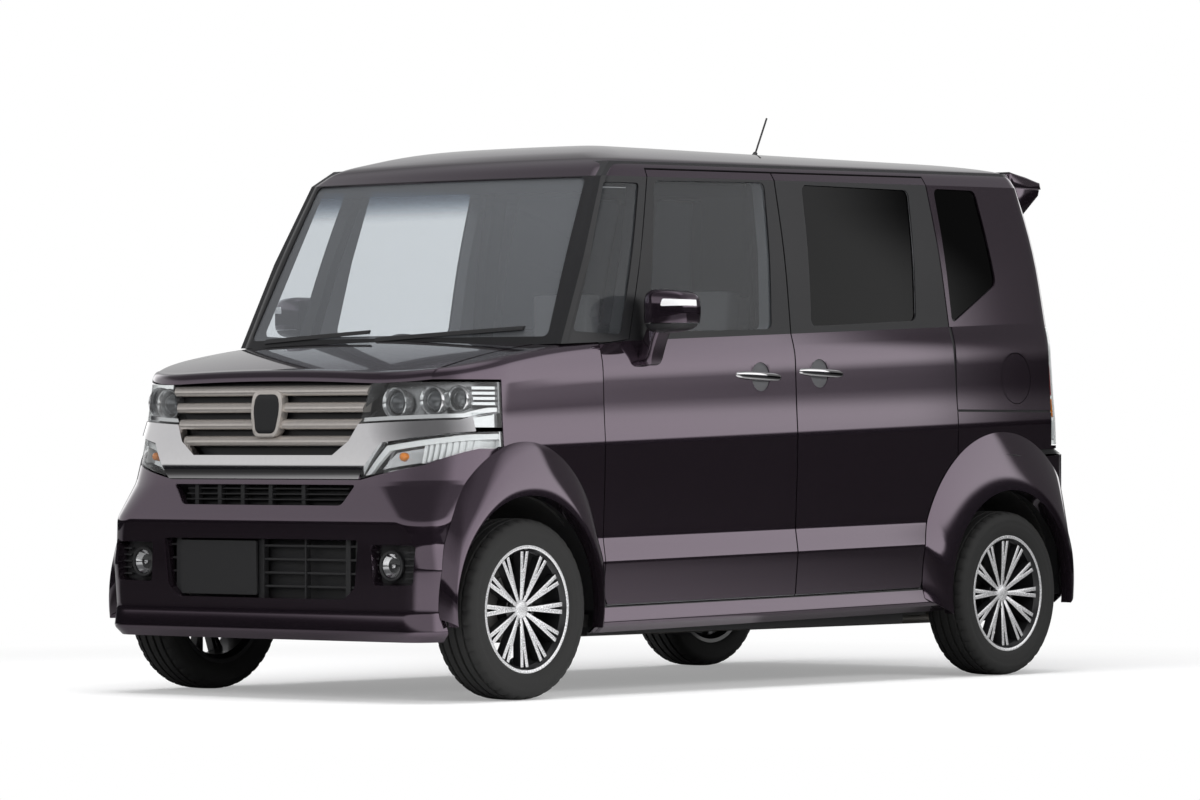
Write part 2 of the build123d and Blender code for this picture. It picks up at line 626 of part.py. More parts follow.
# Rear bumper: one skin from arch to arch
with BuildPart() as rear_bumper_half:
    add(lower_shell)
    add(rear_flare)
    add(rear_bumper_zone, mode=Mode.INTERSECT)
    add(rear_well, mode=Mode.SUBTRACT)
with BuildPart() as rear_bumper:
    add(rear_bumper_half.part)
    add(flipped(rear_bumper_half.part))
save(rear_bumper, "rear_bumper")

# Roof: a crowned panel with the header over the windscreen
# place along the car from the front axle back, drop of the crown from full height
ROOF_ROWS = [(390, 72), (640, 30), (1080, 3), (1660, 0), (2260, 7), (2780, 26)]
roof_faces = []
for back, drop in ROOF_ROWS:
    x = FRONT_X - back
    y, z = HALF - 136, climb("roof_edge", x)
    with BuildSketch(Plane.YZ.offset(x)) as face:
        with BuildLine():
            ThreePointArc((-y, z), (0, HEIGHT - drop), (y, z))
            Line((y, z), (y, z - ROOF_RIM))
            ThreePointArc((y, z - ROOF_RIM), (0, HEIGHT - drop - ROOF_T), (-y, z - ROOF_RIM))
            Line((-y, z - ROOF_RIM), (-y, z))
        make_face()
    roof_faces.append(face.sketch)
roof_sheet = loft(roof_faces)
roof_plan = extrude(outline(UPPER[3], 0, SCREEN_BOW, lift=-120), 240)
with BuildPart() as roof:
    add(roof_sheet)
    add(roof_plan, mode=Mode.INTERSECT)
    add(box(HINGE_X + 2, NOSE_X, -FAR, FAR, 1000, 2000), mode=Mode.INTERSECT)
    add(((upper_shell + flipped(upper_shell)) & header_zone) - screen_hole)
    for y in (TAB_Y - 100, 100 - TAB_Y):
        add(box(HINGE_X - 6 + SEAT_GAP, HINGE_X + 20, y - 30, y + 30, ROOF_EDGE + 22, ROOF_EDGE + 29))
    add(body_side_left.part, mode=Mode.SUBTRACT)
    add(body_side_right.part, mode=Mode.SUBTRACT)
    add(windscreen.part, mode=Mode.SUBTRACT)
save(roof, "roof")

# Aerial: a thin rod leaning back from a small foot on the roof
AERIAL_X, AERIAL_LONG, AERIAL_LEAN = -767.0, 170.0, 27.0
with BuildPart() as aerial:
    with Locations(Location((AERIAL_X, 0, HEIGHT - 4), (0, -AERIAL_LEAN, 0))):
        Cylinder(3.2, AERIAL_LONG, align=(Align.CENTER, Align.CENTER, Align.MIN))
        Cone(16, 7, 34, align=(Align.CENTER, Align.CENTER, Align.MIN))
    add(roof.part, mode=Mode.SUBTRACT)
save(aerial, "aerial")

# Underbody: floor, load floor, bulkhead, wheel housings, rails and cowl in one welded piece
TOE_X = FRONT_X - 240.0
RAIL_IN, RAIL_OUT = 326.0, 384.0
well_low, well_high = WHEEL_Y - 257, WHEEL_Y - 182
rear_housing = axle_block(REAR_X, TYRE_RADIUS + 9, ARCH_RADIUS + 12, well_high - 12, FAR)
front_housing = axle_block(FRONT_X + 3, TYRE_RADIUS + 7, ARCH_RADIUS + 12, well_low - 12, FAR)
STEP_X = REAR_X + 370.0
with BuildPart() as tub_half:
    add(box(STEP_X, TOE_X + 30, 0, FAR, FLOOR - FLOOR_T, FLOOR))
    add(box(STEP_X, STEP_X + 30, 0, FAR, FLOOR - FLOOR_T, LOAD_FLOOR))
    add(box(TAIL_X + 60, STEP_X + 30, 0, FAR, LOAD_FLOOR - 30, LOAD_FLOOR))
    add(box(TOE_X, TOE_X + 30, 0, FAR, FLOOR - FLOOR_T, BELT))
    add(rear_housing & box(TAIL_X, 0, 0, FAR, TYRE_RADIUS + 50, 1000))
    add(front_housing & box(TOE_X + 30, NOSE_X, well_low - 12, FAR, 330, 1000))
    add(box(TOE_X, NOSE_X - 110, RAIL_IN, RAIL_OUT, 380, 460))
    add(box(NOSE_X - 140, NOSE_X - 110, 0, HALF - 240, 300, 940))
    add(lower_room, mode=Mode.INTERSECT)
    add(box(NOSE_X - 142, NOSE_X - 108, -1, 280, 380, 900), mode=Mode.SUBTRACT)
    add(front_well, mode=Mode.SUBTRACT)
    add(rear_well, mode=Mode.SUBTRACT)
    add(body_side_left.part, mode=Mode.SUBTRACT)
cowl_half = upper_shell & cowl_zone & box(0, NOSE_X, 0, FAR, 0, climb("belt", FRONT_X) + 31)
cowl_half = cowl_half + (lower_shell & box(0, BONNET_REAR + 20, 0, BONNET_HALF, BELT - 120, BELT))
with BuildPart() as bonnet_tabs:
    for y in (TAB_Y, -TAB_Y):
        add(box(TOE_X + 20, BONNET_REAR, y - 20, y + 20, BELT - 68, BELT - 58))
    add(bonnet_seat_zone.part, mode=Mode.SUBTRACT)
with BuildPart() as underbody:
    add(tub_half.part)
    add(flipped(tub_half.part))
    add(cowl_half)
    add(flipped(cowl_half))
    add(box(TOE_X, BONNET_REAR - 80, -HEADER_HALF, HEADER_HALF, BELT - 70, BELT - 47))
    add(bonnet_gap_zone.part, mode=Mode.SUBTRACT)
    add(bonnet_tabs.part)
    add(windscreen.part, mode=Mode.SUBTRACT)
    add(body_side_left.part, mode=Mode.SUBTRACT)
    add(body_side_right.part, mode=Mode.SUBTRACT)
save(underbody, "underbody")

# Dashboard: a hollow shell across the car with the steering column
DASH = [(TOE_X, 560), (TOE_X, 1076), (TOE_X - 170, 1084), (TOE_X - 330, 1010),
        (TOE_X - 330, 900), (TOE_X - 210, 700), (TOE_X - 160, 560)]
COLUMN = Location((TOE_X - 330, -330, 930), (0, -64, 0))
COLUMN_LONG = 120.0
DASH_HALF = HALF - 92.0
with BuildPart() as dashboard:
    with BuildSketch(Plane.XZ.offset(DASH_HALF)) as dash_view:
        with BuildLine():
            Polyline(*DASH, close=True)
        make_face()
        offset(amount=-28, kind=Kind.INTERSECTION, mode=Mode.SUBTRACT)
    extrude(amount=-2 * DASH_HALF)
    with Locations(COLUMN):
        Cylinder(26, COLUMN_LONG + 40)
    add(lower_room, mode=Mode.INTERSECT)
save(dashboard, "dashboard")

# Steering wheel: rim, three spokes and a plain boss on the column's end
WHEEL_RIM = 178.0
wheel_plane = Plane(COLUMN * Pos(0, 0, COLUMN_LONG / 2 + 20 + SEAT_GAP))
with BuildPart() as steering_wheel:
    with BuildSketch(wheel_plane):
        Circle(48)
    extrude(amount=46)
    with BuildSketch(wheel_plane.offset(26)):
        for turn in (90, 200, 340):
            with Locations(Location((0, 0, 0), (0, 0, turn))):
                with Locations((WHEEL_RIM / 2 + 10, 0)):
                    Rectangle(WHEEL_RIM - 20, 34)
    extrude(amount=14)
    with Locations(Location(wheel_plane.offset(33))):
        Torus(WHEEL_RIM, 15)
save(steering_wheel, "steering_wheel")

# Seats: cushion, back and head rest on a box base, two in front and a pair behind
SEAT_W = 500.0
# name, front of the cushion, height of the cushion top, base bottom
SEATS = [("front_seats", 470.0, 590.0, FLOOR), ("rear_seats", -340.0, 600.0, FLOOR)]
for seat_name, seat_x, seat_z, base_z in SEATS:
    with BuildPart() as seats:
        for side in (1, -1):
            y = side * (SEAT_W / 2 + 55)
            add(box(seat_x - 420, seat_x - 60, y - 190, y + 190, base_z, seat_z - 130))
            add(box(seat_x - 500, seat_x, y - SEAT_W / 2, y + SEAT_W / 2, seat_z - 150, seat_z))
            with BuildSketch(Plane.XZ.offset(-y - SEAT_W / 2)):
                with BuildLine():
                    Polyline((seat_x - 400, seat_z - 60), (seat_x - 500, seat_z - 60),
                             (seat_x - 640, seat_z + 540), (seat_x - 550, seat_z + 550), close=True)
                make_face()
            extrude(amount=SEAT_W)
            add(box(seat_x - 645, seat_x - 565, y - 125, y + 125, seat_z + 540, seat_z + 720))
    save(seats, seat_name)

# Powertrain: one plain block across the engine bay with its two side mounts
with BuildPart() as powertrain:
    add(box(TOE_X + 90, NOSE_X - 190, -290, 250, 270, 800))
    add(box(FRONT_X + 40, FRONT_X + 120, -RAIL_IN, RAIL_IN, 400, 460))
save(powertrain, "powertrain")

# Front suspension: crossmember on two posts, and lower arms with their ball pins
PIN_LOW_Y, PIN_LOW_Z = WHEEL_Y - 40.0, 190.0
PIN_TOP_Y, PIN_TOP_Z = WHEEL_Y - 122.0, 632.0
PIN_R = 12.0
ARM_LOW, ARM_T, ARM_END = 176.0, 18.0, 18.0
pin_lean = degrees(atan2(PIN_LOW_Y - PIN_TOP_Y, PIN_TOP_Z - PIN_LOW_Z))
PIN_PLANE = Plane(Location((FRONT_X, PIN_LOW_Y, PIN_LOW_Z), (pin_lean, 0, 0)))
with BuildPart() as arm_left:
    add(box(FRONT_X - 90, FRONT_X + 60, 0, RAIL_OUT - 20, 180, 250))
    add(box(FRONT_X - 60, FRONT_X - 20, RAIL_IN, RAIL_OUT - 20, 240, 380))
    with BuildSketch(Plane.XY.offset(ARM_LOW)):
        with BuildLine():
            Polyline((FRONT_X - 70, RAIL_OUT - 34), (FRONT_X + 50, RAIL_OUT - 34),
                     (FRONT_X + ARM_END, PIN_LOW_Y), (FRONT_X - ARM_END, PIN_LOW_Y), close=True)
        make_face()
        with Locations((FRONT_X, PIN_LOW_Y)):
            Circle(ARM_END)
    extrude(amount=ARM_T)
    with BuildSketch(PIN_PLANE):
        Circle(PIN_R)
    extrude(amount=44)
with BuildPart() as front_suspension:
    add(arm_left.part)
    add(flipped(arm_left.part))
save(front_suspension, "front_suspension")

# Steering knuckles: ball-pin eye, upright, strut, brake disc and stub shaft
DISC_R = 108.0
DISC_T = 12.0
STRUT_R = 24.0
STRUT_Y = WHEEL_Y - 124.0
with BuildPart() as knuckle_left:
    with BuildSketch(PIN_PLANE.offset(14)):
        Circle(27)
    extrude(amount=34)
    add(box(FRONT_X - 24, FRONT_X + 24, WHEEL_Y - 100, WHEEL_Y - 58, 222, 400))
    add(box(FRONT_X - 24, FRONT_X + 24, STRUT_Y - 14, WHEEL_Y - 88, 330, 400))
    with Locations((FRONT_X, STRUT_Y, 330)):
        Cylinder(STRUT_R, 230, align=(Align.CENTER, Align.CENTER, Align.MIN))
    with BuildSketch(PIN_PLANE.offset(hypot(PIN_LOW_Y - PIN_TOP_Y, PIN_TOP_Z - PIN_LOW_Z) - 100)):
        Circle(STRUT_R - 6)
    extrude(amount=97)
    with Locations(Location((FRONT_X, WHEEL_Y - 98, TYRE_RADIUS), (-90, 0, 0))):
        Cylinder(50, 72, align=(Align.CENTER, Align.CENTER, Align.MIN))
        Cylinder(HUB_BORE - RUNNING, 98 + STUB, align=(Align.CENTER, Align.CENTER, Align.MIN))
    with Locations(Location((FRONT_X, WHEEL_Y - DISC_T, TYRE_RADIUS), (-90, 0, 0))):
        Cylinder(DISC_R, DISC_T, align=(Align.CENTER, Align.CENTER, Align.MIN))
    with BuildSketch(PIN_PLANE):
        Circle(PIN_R + RUNNING)
    extrude(amount=44.3, mode=Mode.SUBTRACT)
save(knuckle_left, "knuckle_left")
with BuildPart() as knuckle_right:
    add(flipped(knuckle_left.part))
save(knuckle_right, "knuckle_right")

# Rear axle: beam, trailing arms, springs and drums with the stub shafts
with BuildPart() as rear_axle:
    with Locations(Location((REAR_X, 0, TYRE_RADIUS), (90, 0, 0))):
        Cylinder(34, 2 * (WHEEL_Y - 100))
        Cylinder(HUB_BORE - RUNNING, 2 * (WHEEL_Y + STUB))
    for side in (1, -1):
        with Locations(Location((REAR_X, side * (WHEEL_Y - 60), TYRE_RADIUS), (90, 0, 0))):
            Cylinder(96, 60)
        add(box(REAR_X, STEP_X, side * 420 - 20, side * 420 + 20, TYRE_RADIUS - 24, TYRE_RADIUS + 24))
        with Locations((REAR_X, side * 350, TYRE_RADIUS)):
            Cylinder(46, LOAD_FLOOR - 30 - TYRE_RADIUS, align=(Align.CENTER, Align.CENTER, Align.MIN))
save(rear_axle, "rear_axle")

# Fuel tank under the front seats and the exhaust beside it
with BuildPart() as fuel_tank:
    add(box(-260, 330, -420, 200, 165, FLOOR - FLOOR_T))
save(fuel_tank, "fuel_tank")
with BuildPart() as exhaust:
    with Locations(Location(((TOE_X + TAIL_X + 170) / 2, 290, 190), (0, 90, 0))):
        Cylinder(22, TOE_X - TAIL_X - 170)
    add(box(TAIL_X + 120, TAIL_X + 380, 160, 430, 200, 330))
    add(box(TAIL_X + 220, TAIL_X + 250, 280, 310, 320, LOAD_FLOOR - 30))
    add(box(200, 230, 275, 305, 190, FLOOR - FLOOR_T))
save(exhaust, "exhaust")

# Road wheels: rim with twelve forked spokes, and the tyre round it
BARREL = [(-RIM_WIDTH / 2, RIM_RADIUS), (-RIM_WIDTH / 2, RIM_RADIUS - 14), (-20, RIM_RADIUS - 26),
          (RIM_WIDTH / 2 - 16, RIM_RADIUS - 16), (RIM_WIDTH / 2, RIM_RADIUS - 8),
          (RIM_WIDTH / 2, RIM_RADIUS)]
TREAD_HALF = TYRE_WIDTH / 2
FACE_Y = RIM_WIDTH / 2 - 22
with BuildPart() as rim:
    with BuildSketch(Plane.YZ) as barrel_view:
        with BuildLine():
            Polyline(*BARREL, close=True)
        make_face()
    revolve(axis=Axis.Y)
    with BuildSketch(Plane.XZ.offset(-FACE_Y + 18)):
        Circle(HUB_RADIUS)
    extrude(amount=-24)
    with BuildSketch(Plane.XZ.offset(-FACE_Y + 16)):
        with PolarLocations(0.001, SPOKES):
            Polygon((HUB_RADIUS - 8, -10), (RIM_RADIUS - 14, -17), (RIM_RADIUS - 14, -5),
                    (RIM_RADIUS - 62, 0), (RIM_RADIUS - 14, 5), (RIM_RADIUS - 14, 17),
                    (HUB_RADIUS - 8, 10), align=None)
    extrude(amount=-20)
    with BuildSketch(Plane.XZ.offset(TREAD_HALF)):
        Circle(HUB_BORE)
    extrude(amount=-TREAD_HALF - FACE_Y + 6, mode=Mode.SUBTRACT)
    with BuildSketch(Plane.XZ.offset(-FACE_Y - 6)):
        with PolarLocations(LUG_CIRCLE / 2, LUGS):
            Circle(10)
    extrude(amount=8, mode=Mode.SUBTRACT)
SHOULDER = 16.0
with BuildPart() as tyre:
    with BuildSketch(Plane.YZ):
        with BuildLine():
            Polyline((-RIM_WIDTH / 2 + 2, RIM_RADIUS), (-TREAD_HALF, RIM_RADIUS + 34),
                     (-TREAD_HALF, TYRE_RADIUS - SHOULDER - 12))
            ThreePointArc((-TREAD_HALF, TYRE_RADIUS - SHOULDER - 12),
                          (-TREAD_HALF + 5, TYRE_RADIUS - SHOULDER / 2),
                          (-TREAD_HALF + SHOULDER + 8, TYRE_RADIUS))
            Line((-TREAD_HALF + SHOULDER + 8, TYRE_RADIUS), (TREAD_HALF - SHOULDER - 8, TYRE_RADIUS))
            ThreePointArc((TREAD_HALF - SHOULDER - 8, TYRE_RADIUS),
                          (TREAD_HALF - 5, TYRE_RADIUS - SHOULDER / 2),
                          (TREAD_HALF, TYRE_RADIUS - SHOULDER - 12))
            Polyline((TREAD_HALF, TYRE_RADIUS - SHOULDER - 12), (TREAD_HALF, RIM_RADIUS + 34),
                     (RIM_WIDTH / 2 - 2, RIM_RADIUS), (-RIM_WIDTH / 2 + 2, RIM_RADIUS))
        make_face()
    revolve(axis=Axis.Y)

# name, place along the car, side of the car
CORNERS = [("front_left", FRONT_X, 1), ("front_right", FRONT_X, -1),
           ("rear_left", REAR_X, 1), ("rear_right", REAR_X, -1)]
for corner, x, side in CORNERS:
    turn = 0 if side > 0 else 180
    for piece, source in (("rim", rim), ("tyre", tyre)):
        with BuildPart() as placed:
            with Locations(Location((x, side * WHEEL_Y, TYRE_RADIUS), (0, 0, turn))):
                add(source.part)
        save(placed, f"{piece}_{corner}")

# Door mirrors: a rounded housing on a foot that stands on the door's shoulder
MIRROR_X = DOOR_FRONT - 244.0
with BuildPart() as foot:
    with BuildSketch(Plane.XY.offset(BELT - 104)):
        with Locations((MIRROR_X + 46, HALF - 8)):
            RectangleRounded(44, 64, 12)
    with BuildSketch(Plane.XY.offset(BELT + 20)):
        with Locations((MIRROR_X + 30, HALF + 24)):
            RectangleRounded(64, 100, 18)
    loft()
mirror_foot = foot.part
with BuildPart() as mirror_left:
    add(box(MIRROR_X - 40, MIRROR_X + 72, HALF + 14, HALF + 148, BELT - 10, BELT + 132))
    fillet(mirror_left.edges().filter_by(Axis.X), 34)
    fillet(mirror_left.faces().sort_by(Axis.X)[-1].edges(), 24)
    fillet(mirror_left.faces().sort_by(Axis.X)[0].edges(), 8)
    add(mirror_foot)
    add(front_door_left.part, mode=Mode.SUBTRACT)
save(mirror_left, "mirror_left")
with BuildPart() as mirror_right:
    add(flipped(mirror_left.part))
save(mirror_right, "mirror_right")

# Door handles: a pull bar on two feet, front and sliding doors
HANDLE_OUT = HALF + 6.0
# name, front end along the car, height
HANDLES = [("handle_front", 210.0, 1012.0), ("handle_slide", -120.0, 1026.0)]
for handle_name, x, z in HANDLES:
    with BuildPart() as handle:
        add(box(x - 190, x, HANDLE_OUT - 12, HANDLE_OUT, z - 14, z + 14))
        fillet(handle.edges().filter_by(Axis.X), 5)
        add(box(x - 190, x - 166, HANDLE_OUT - 44, HANDLE_OUT - 6, z - 12, z + 12))
        add(box(x - 24, x, HANDLE_OUT - 44, HANDLE_OUT - 6, z - 12, z + 12))
        add(left_shell, mode=Mode.SUBTRACT)
    for side, piece in (("left", handle.part), ("right", flipped(handle.part))):
        with BuildPart() as placed:
            add(piece)
        save(placed, f"{handle_name}_{side}")

# Wipers: two arms with blades that lie along the foot of the windscreen
wiper_zone = end_block([(-40, 1118), (-40, 1132), (540, 1162), (540, 1150)], FRONT_X - 300, NOSE_X)
wiper_zone = wiper_zone + end_block(
    [(-560, 1118), (-560, 1132), (-80, 1156), (-80, 1144)], FRONT_X - 300, NOSE_X
)
wiper_face = stack(UPPER, -10, SCREEN_BOW)
with BuildPart() as wipers:
    add(wiper_face)
    add(upper_form, mode=Mode.SUBTRACT)
    add(wiper_zone, mode=Mode.INTERSECT)
save(wipers, "wipers")
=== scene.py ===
"""Tall kei wagon in deep plum metallic paint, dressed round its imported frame.

Frame: +X forward, +Y to the car's left, +Z up, origin on the ground midway
between the axles. Metres.
"""
from math import atan, cos, pi, radians, sin, sqrt

import bmesh
import bpy
from mathutils import Matrix, Vector


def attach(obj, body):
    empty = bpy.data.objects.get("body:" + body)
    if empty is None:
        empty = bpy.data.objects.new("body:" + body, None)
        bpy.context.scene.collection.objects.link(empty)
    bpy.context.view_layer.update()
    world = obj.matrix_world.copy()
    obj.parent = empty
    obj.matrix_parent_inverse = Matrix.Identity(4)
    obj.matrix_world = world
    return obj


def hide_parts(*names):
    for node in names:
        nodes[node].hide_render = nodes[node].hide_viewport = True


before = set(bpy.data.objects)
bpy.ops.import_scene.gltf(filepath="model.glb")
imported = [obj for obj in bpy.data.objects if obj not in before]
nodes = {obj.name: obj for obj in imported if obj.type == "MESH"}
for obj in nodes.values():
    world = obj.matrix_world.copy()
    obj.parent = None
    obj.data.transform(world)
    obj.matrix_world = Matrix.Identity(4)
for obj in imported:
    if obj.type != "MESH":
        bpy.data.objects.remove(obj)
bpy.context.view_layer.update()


# Studio: a pale floor that runs out of sight, a surround that is white to the eye and graded in
# what paint and plating mirror, and wide soft lamps. The long lens stands off the car's front
# left at bumper height.
class Wire:
    """One output in a node tree. Sums on it add Math nodes, and node() adds any other node."""

    def __init__(self, tree, socket=None):
        self.tree, self.socket = tree, socket

    def node(self, kind, sockets=None, output=0, stops=None, **settings):
        """Adds a node: its settings first, then a ramp's stops, then its sockets' values or links."""
        made = self.tree.nodes.new(kind)
        for name, value in settings.items():
            setattr(made, name, value)
        if stops:
            ramp = made.color_ramp.elements
            while len(ramp) < len(stops):
                ramp.new(0.5)
            for stop, (place, shade) in zip(ramp, stops):
                stop.position = place
                stop.color = (*shade, 1) if len(shade) == 3 else shade
        for place, value in (sockets or {}).items():
            if isinstance(value, Wire):
                self.tree.links.new(value.socket, made.inputs[place])
            else:
                made.inputs[place].default_value = value
        return Wire(self.tree, made.outputs[output] if made.outputs else None)

    def math(self, operation, other, swap=False):
        """Adds a Math node on this output and another value."""
        pair = (other, self) if swap else (self, other)
        return self.node("ShaderNodeMath", dict(enumerate(pair)), operation=operation)

    def __add__(self, other):
        return self.math("ADD", other)

    def __sub__(self, other):
        return self.math("SUBTRACT", other)

    def __rsub__(self, other):
        return self.math("SUBTRACT", other, swap=True)

    def __mul__(self, other):
        return self.math("MULTIPLY", other)

    __radd__, __rmul__ = __add__, __mul__


def new_finish(name):
    """A material with an empty node tree, and the wire that adds nodes to it."""
    finish = bpy.data.materials.new(name)
    finish.use_nodes = True
    finish.node_tree.nodes.clear()
    return finish, Wire(finish.node_tree)


def show(finish, wire, shader):
    """Joins a shader to the finish's output."""
    wire.node("ShaderNodeOutputMaterial", {"Surface": shader})
    return finish


def principled(wire, **values):
    """A Principled shader, its sockets named with underscores for spaces."""
    names = {"ior": "IOR", "specular_ior_level": "Specular IOR Level"}
    sockets = {names.get(name, name.replace("_", " ").title()): value for name, value in values.items()}
    return wire.node("ShaderNodeBsdfPrincipled", sockets)


def speckle(wire, scale, detail=2.0):
    """Noise over the piece's own coordinates."""
    place = wire.node("ShaderNodeTexCoord", output="Object")
    return wire.node("ShaderNodeTexNoise", {"Vector": place, "Scale": scale, "Detail": detail})


def two_tone(wire, mask, low, high):
    """A colour between two, by a mask."""
    return wire.node("ShaderNodeMix", {"Factor": mask, 6: (*low, 1), 7: (*high, 1)}, output=2,
                     data_type="RGBA")


def bumped(wire, height, distance, strength=0.5):
    """A normal raised by a height."""
    return wire.node("ShaderNodeBump", {"Height": height, "Distance": distance, "Strength": strength})


FLOOR_REACH, FLOOR_TONE, SHADOW_EDGE = 60.0, 0.60, 2.2
EYE = Vector((14.482, 12.144, 0.784))
EYE_TURN, EYE_LIFT, LENS = radians(40.08), radians(0.47), 169.74

camera = bpy.data.cameras.new("camera")
camera.lens, camera.sensor_width, camera.clip_end = LENS, 36.0, 200.0
eye = bpy.data.objects.new("camera", camera)
look = Vector((-cos(EYE_TURN) * cos(EYE_LIFT), -sin(EYE_TURN) * cos(EYE_LIFT), sin(EYE_LIFT)))
eye.location, eye.rotation_euler = EYE, look.to_track_quat("-Z", "Y").to_euler()
bpy.context.scene.collection.objects.link(eye)
bpy.context.scene.camera = eye
bpy.context.scene.view_settings.view_transform = "Standard"


def new_object(name, shape):
    """Turns a bmesh into an object in the scene."""
    mesh = bpy.data.meshes.new(name)
    shape.to_mesh(mesh)
    shape.free()
    thing = bpy.data.objects.new(name, mesh)
    bpy.context.scene.collection.objects.link(thing)
    return thing


def past(way, angle, soft):
    """How far a direction has turned past an angle seen from above, as a soft step."""
    across = (-sin(radians(angle)), cos(radians(angle)), 0.0)
    turn = way.node("ShaderNodeVectorMath", {0: way, 1: across}, output="Value", operation="DOT_PRODUCT")
    return way.node("ShaderNodeMapRange", {0: turn, 1: -soft, 2: soft}, interpolation_type="SMOOTHSTEP")


def between(way, start, stop, soft_start, soft_stop):
    """How far a direction lies between two angles seen from above."""
    return past(way, start, soft_start) * (1.0 - past(way, stop, soft_stop))


shape = bmesh.new()
bmesh.ops.create_grid(shape, x_segments=1, y_segments=1, size=FLOOR_REACH)
floor = new_object("floor", shape)
floor_white, wire = new_finish("floor_white")
seen = wire.node("ShaderNodeLightPath", output="Is Camera Ray")
place = wire.node("ShaderNodeTexCoord", output="Object")
far = wire.node("ShaderNodeVectorMath", {0: place}, output="Value", operation="LENGTH")
way = wire.node("ShaderNodeVectorMath", {0: place}, operation="NORMALIZE")
# what the eye sees fades out to plain white; what the car mirrors carries painted shade on two sides, lighter near
# the car and darker further out
shaded = between(way, 104.0, 176.0, 0.06, 0.10) + between(way, 292.0, 10.0, 0.15, 0.15)
fade = wire.node("ShaderNodeMapRange", {0: far, 1: SHADOW_EDGE, 2: 4.2, 3: 0.30, 4: 1.0},
                 interpolation_type="SMOOTHSTEP")
painted_shade_tone = wire.node("ShaderNodeMapRange", {0: far, 1: SHADOW_EDGE, 2: 4.6, 3: 0.26, 4: 0.07})
tone = wire.node("ShaderNodeMapRange", {0: shaded, 3: FLOOR_TONE, 4: painted_shade_tone})
matt = wire.node("ShaderNodeBsdfDiffuse", {"Color": wire.node("ShaderNodeMix", {
    "Factor": seen, 6: tone, 7: (0.9, 0.9, 0.9, 1)}, output=2, data_type="RGBA")})
glow = wire.node("ShaderNodeEmission", {"Color": (1, 1, 1, 1), "Strength": 1.0})
show(floor_white, wire, wire.node("ShaderNodeMixShader", {0: seen * fade, 1: matt, 2: glow}))
floor.data.materials.append(floor_white)

world = bpy.data.worlds.new("studio")
bpy.context.scene.world = world
world.use_nodes = True
world.node_tree.nodes.clear()
wire = Wire(world.node_tree)
way = wire.node("ShaderNodeTexCoord", output="Generated")
height = wire.node("ShaderNodeSeparateXYZ", {0: way}, output=2)


def under(start, stop):
    """How far a direction lies below a height, as a soft step."""
    return wire.node("ShaderNodeMapRange", {0: height, 1: start, 2: stop, 3: 1.0, 4: 0.0},
                     interpolation_type="SMOOTHSTEP")


rear_wall = between(way, 146.0, 186.0, 0.025, 0.06) * under(0.30, 0.50) * 0.90
far_wall = between(way, 200.0, 238.0, 0.08, 0.06) * under(0.42, 0.64) * 0.66
ahead = past(way, 250.0, 0.20)
wall = (1.0 - rear_wall) * (1.0 - far_wall) * (1.5 - ahead * 0.80)
horizon = height - ahead * 0.035
sky = wire.node("ShaderNodeValToRGB", {0: horizon}, stops=[
    (0.0, (0.015, 0.015, 0.018)), (0.042, (0.03, 0.03, 0.032)), (0.052, (0.20, 0.20, 0.205)),
    (0.068, (1.0, 1.0, 1.0)), (0.34, (0.86, 0.86, 0.87)), (0.50, (0.20, 0.20, 0.205)),
    (0.82, (0.15, 0.15, 0.155)), (0.96, (0.60, 0.60, 0.61))])
lit = wire.node("ShaderNodeBackground", {"Color": sky, "Strength": wall})
white = wire.node("ShaderNodeBackground", {"Color": (1, 1, 1, 1), "Strength": 1.0})
through = wire.node("ShaderNodeLightPath", output="Is Transmission Ray")
direct = wire.node("ShaderNodeLightPath", output="Is Camera Ray")
wire.node("ShaderNodeOutputWorld", {
    "Surface": wire.node("ShaderNodeMixShader", {0: direct.math("MAXIMUM", through), 1: lit, 2: white})})

# name, place, aim, width, depth, watts
LAMPS = [
    ("top_light", (0.3, 0.3, 4.6), (0.0, 0.0, 0.8), 5.5, 3.2, 320.0),
    ("nose_light", (5.5, 0.6, 2.6), (1.5, 0.0, 0.7), 3.2, 2.6, 80.0),
    ("side_light", (1.2, 6.2, 3.4), (0.0, 0.7, 0.8), 5.0, 1.4, 170.0),
]
for name, place, aim, width, depth, watts in LAMPS:
    panel = bpy.data.lights.new(name, "AREA")
    panel.shape, panel.size, panel.size_y, panel.energy = "RECTANGLE", width, depth, watts
    lamp = bpy.data.objects.new(name, panel)
    lamp.location, lamp.visible_glossy = place, False
    lamp.rotation_euler = (Vector(aim) - Vector(place)).to_track_quat("-Z", "Y").to_euler()
    bpy.context.scene.collection.objects.link(lamp)


# Body skin: pressed steel panels that share one set of levels. Each level is a plan
# outline that climbs to the rear; panels are sheets of that skin cut along the shut lines.
PROUD = 0.004
SHEET = 0.006
SIDE_MID, SIDE_BOW = -0.1, 45.0
TAIL_BOW, NOSE_BOW, SCREEN_BOW = 0.024, 0.012, 0.062
EASE_STEPS = 4
# height, climb, half width, nose, tail, nose corner, tail corner, ease of the crease
SKIRT_LOW = (0.214, 0.017, 0.704, 1.6775, 1.6755, 0.090, 0.100, 0.0)
SKIRT_EDGE = (0.240, 0.017, 0.731, 1.6955, 1.6975, 0.105, 0.115, 0.008)
SILL_TOP = (0.300, 0.014, 0.722, 1.6895, 1.6915, 0.100, 0.112, 0.012)
CREASE_LOW = (0.438, 0.019, 0.734, 1.6935, 1.6945, 0.108, 0.118, 0.008)
CREASE_TOP = (0.513, 0.019, 0.723, 1.6945, 1.6955, 0.110, 0.118, 0.010)
RIDGE = (0.592, 0.022, 0.726, 1.6975, 1.6975, 0.125, 0.120, 0.016)
BUMPER_TOP = (0.712, 0.030, 0.7305, 1.6755, 1.6895, 0.245, 0.118, 0.003)
BUMPER_LEDGE = (0.727, 0.030, 0.7307, 1.6735, 1.6515, 0.255, 0.110, 0.003)
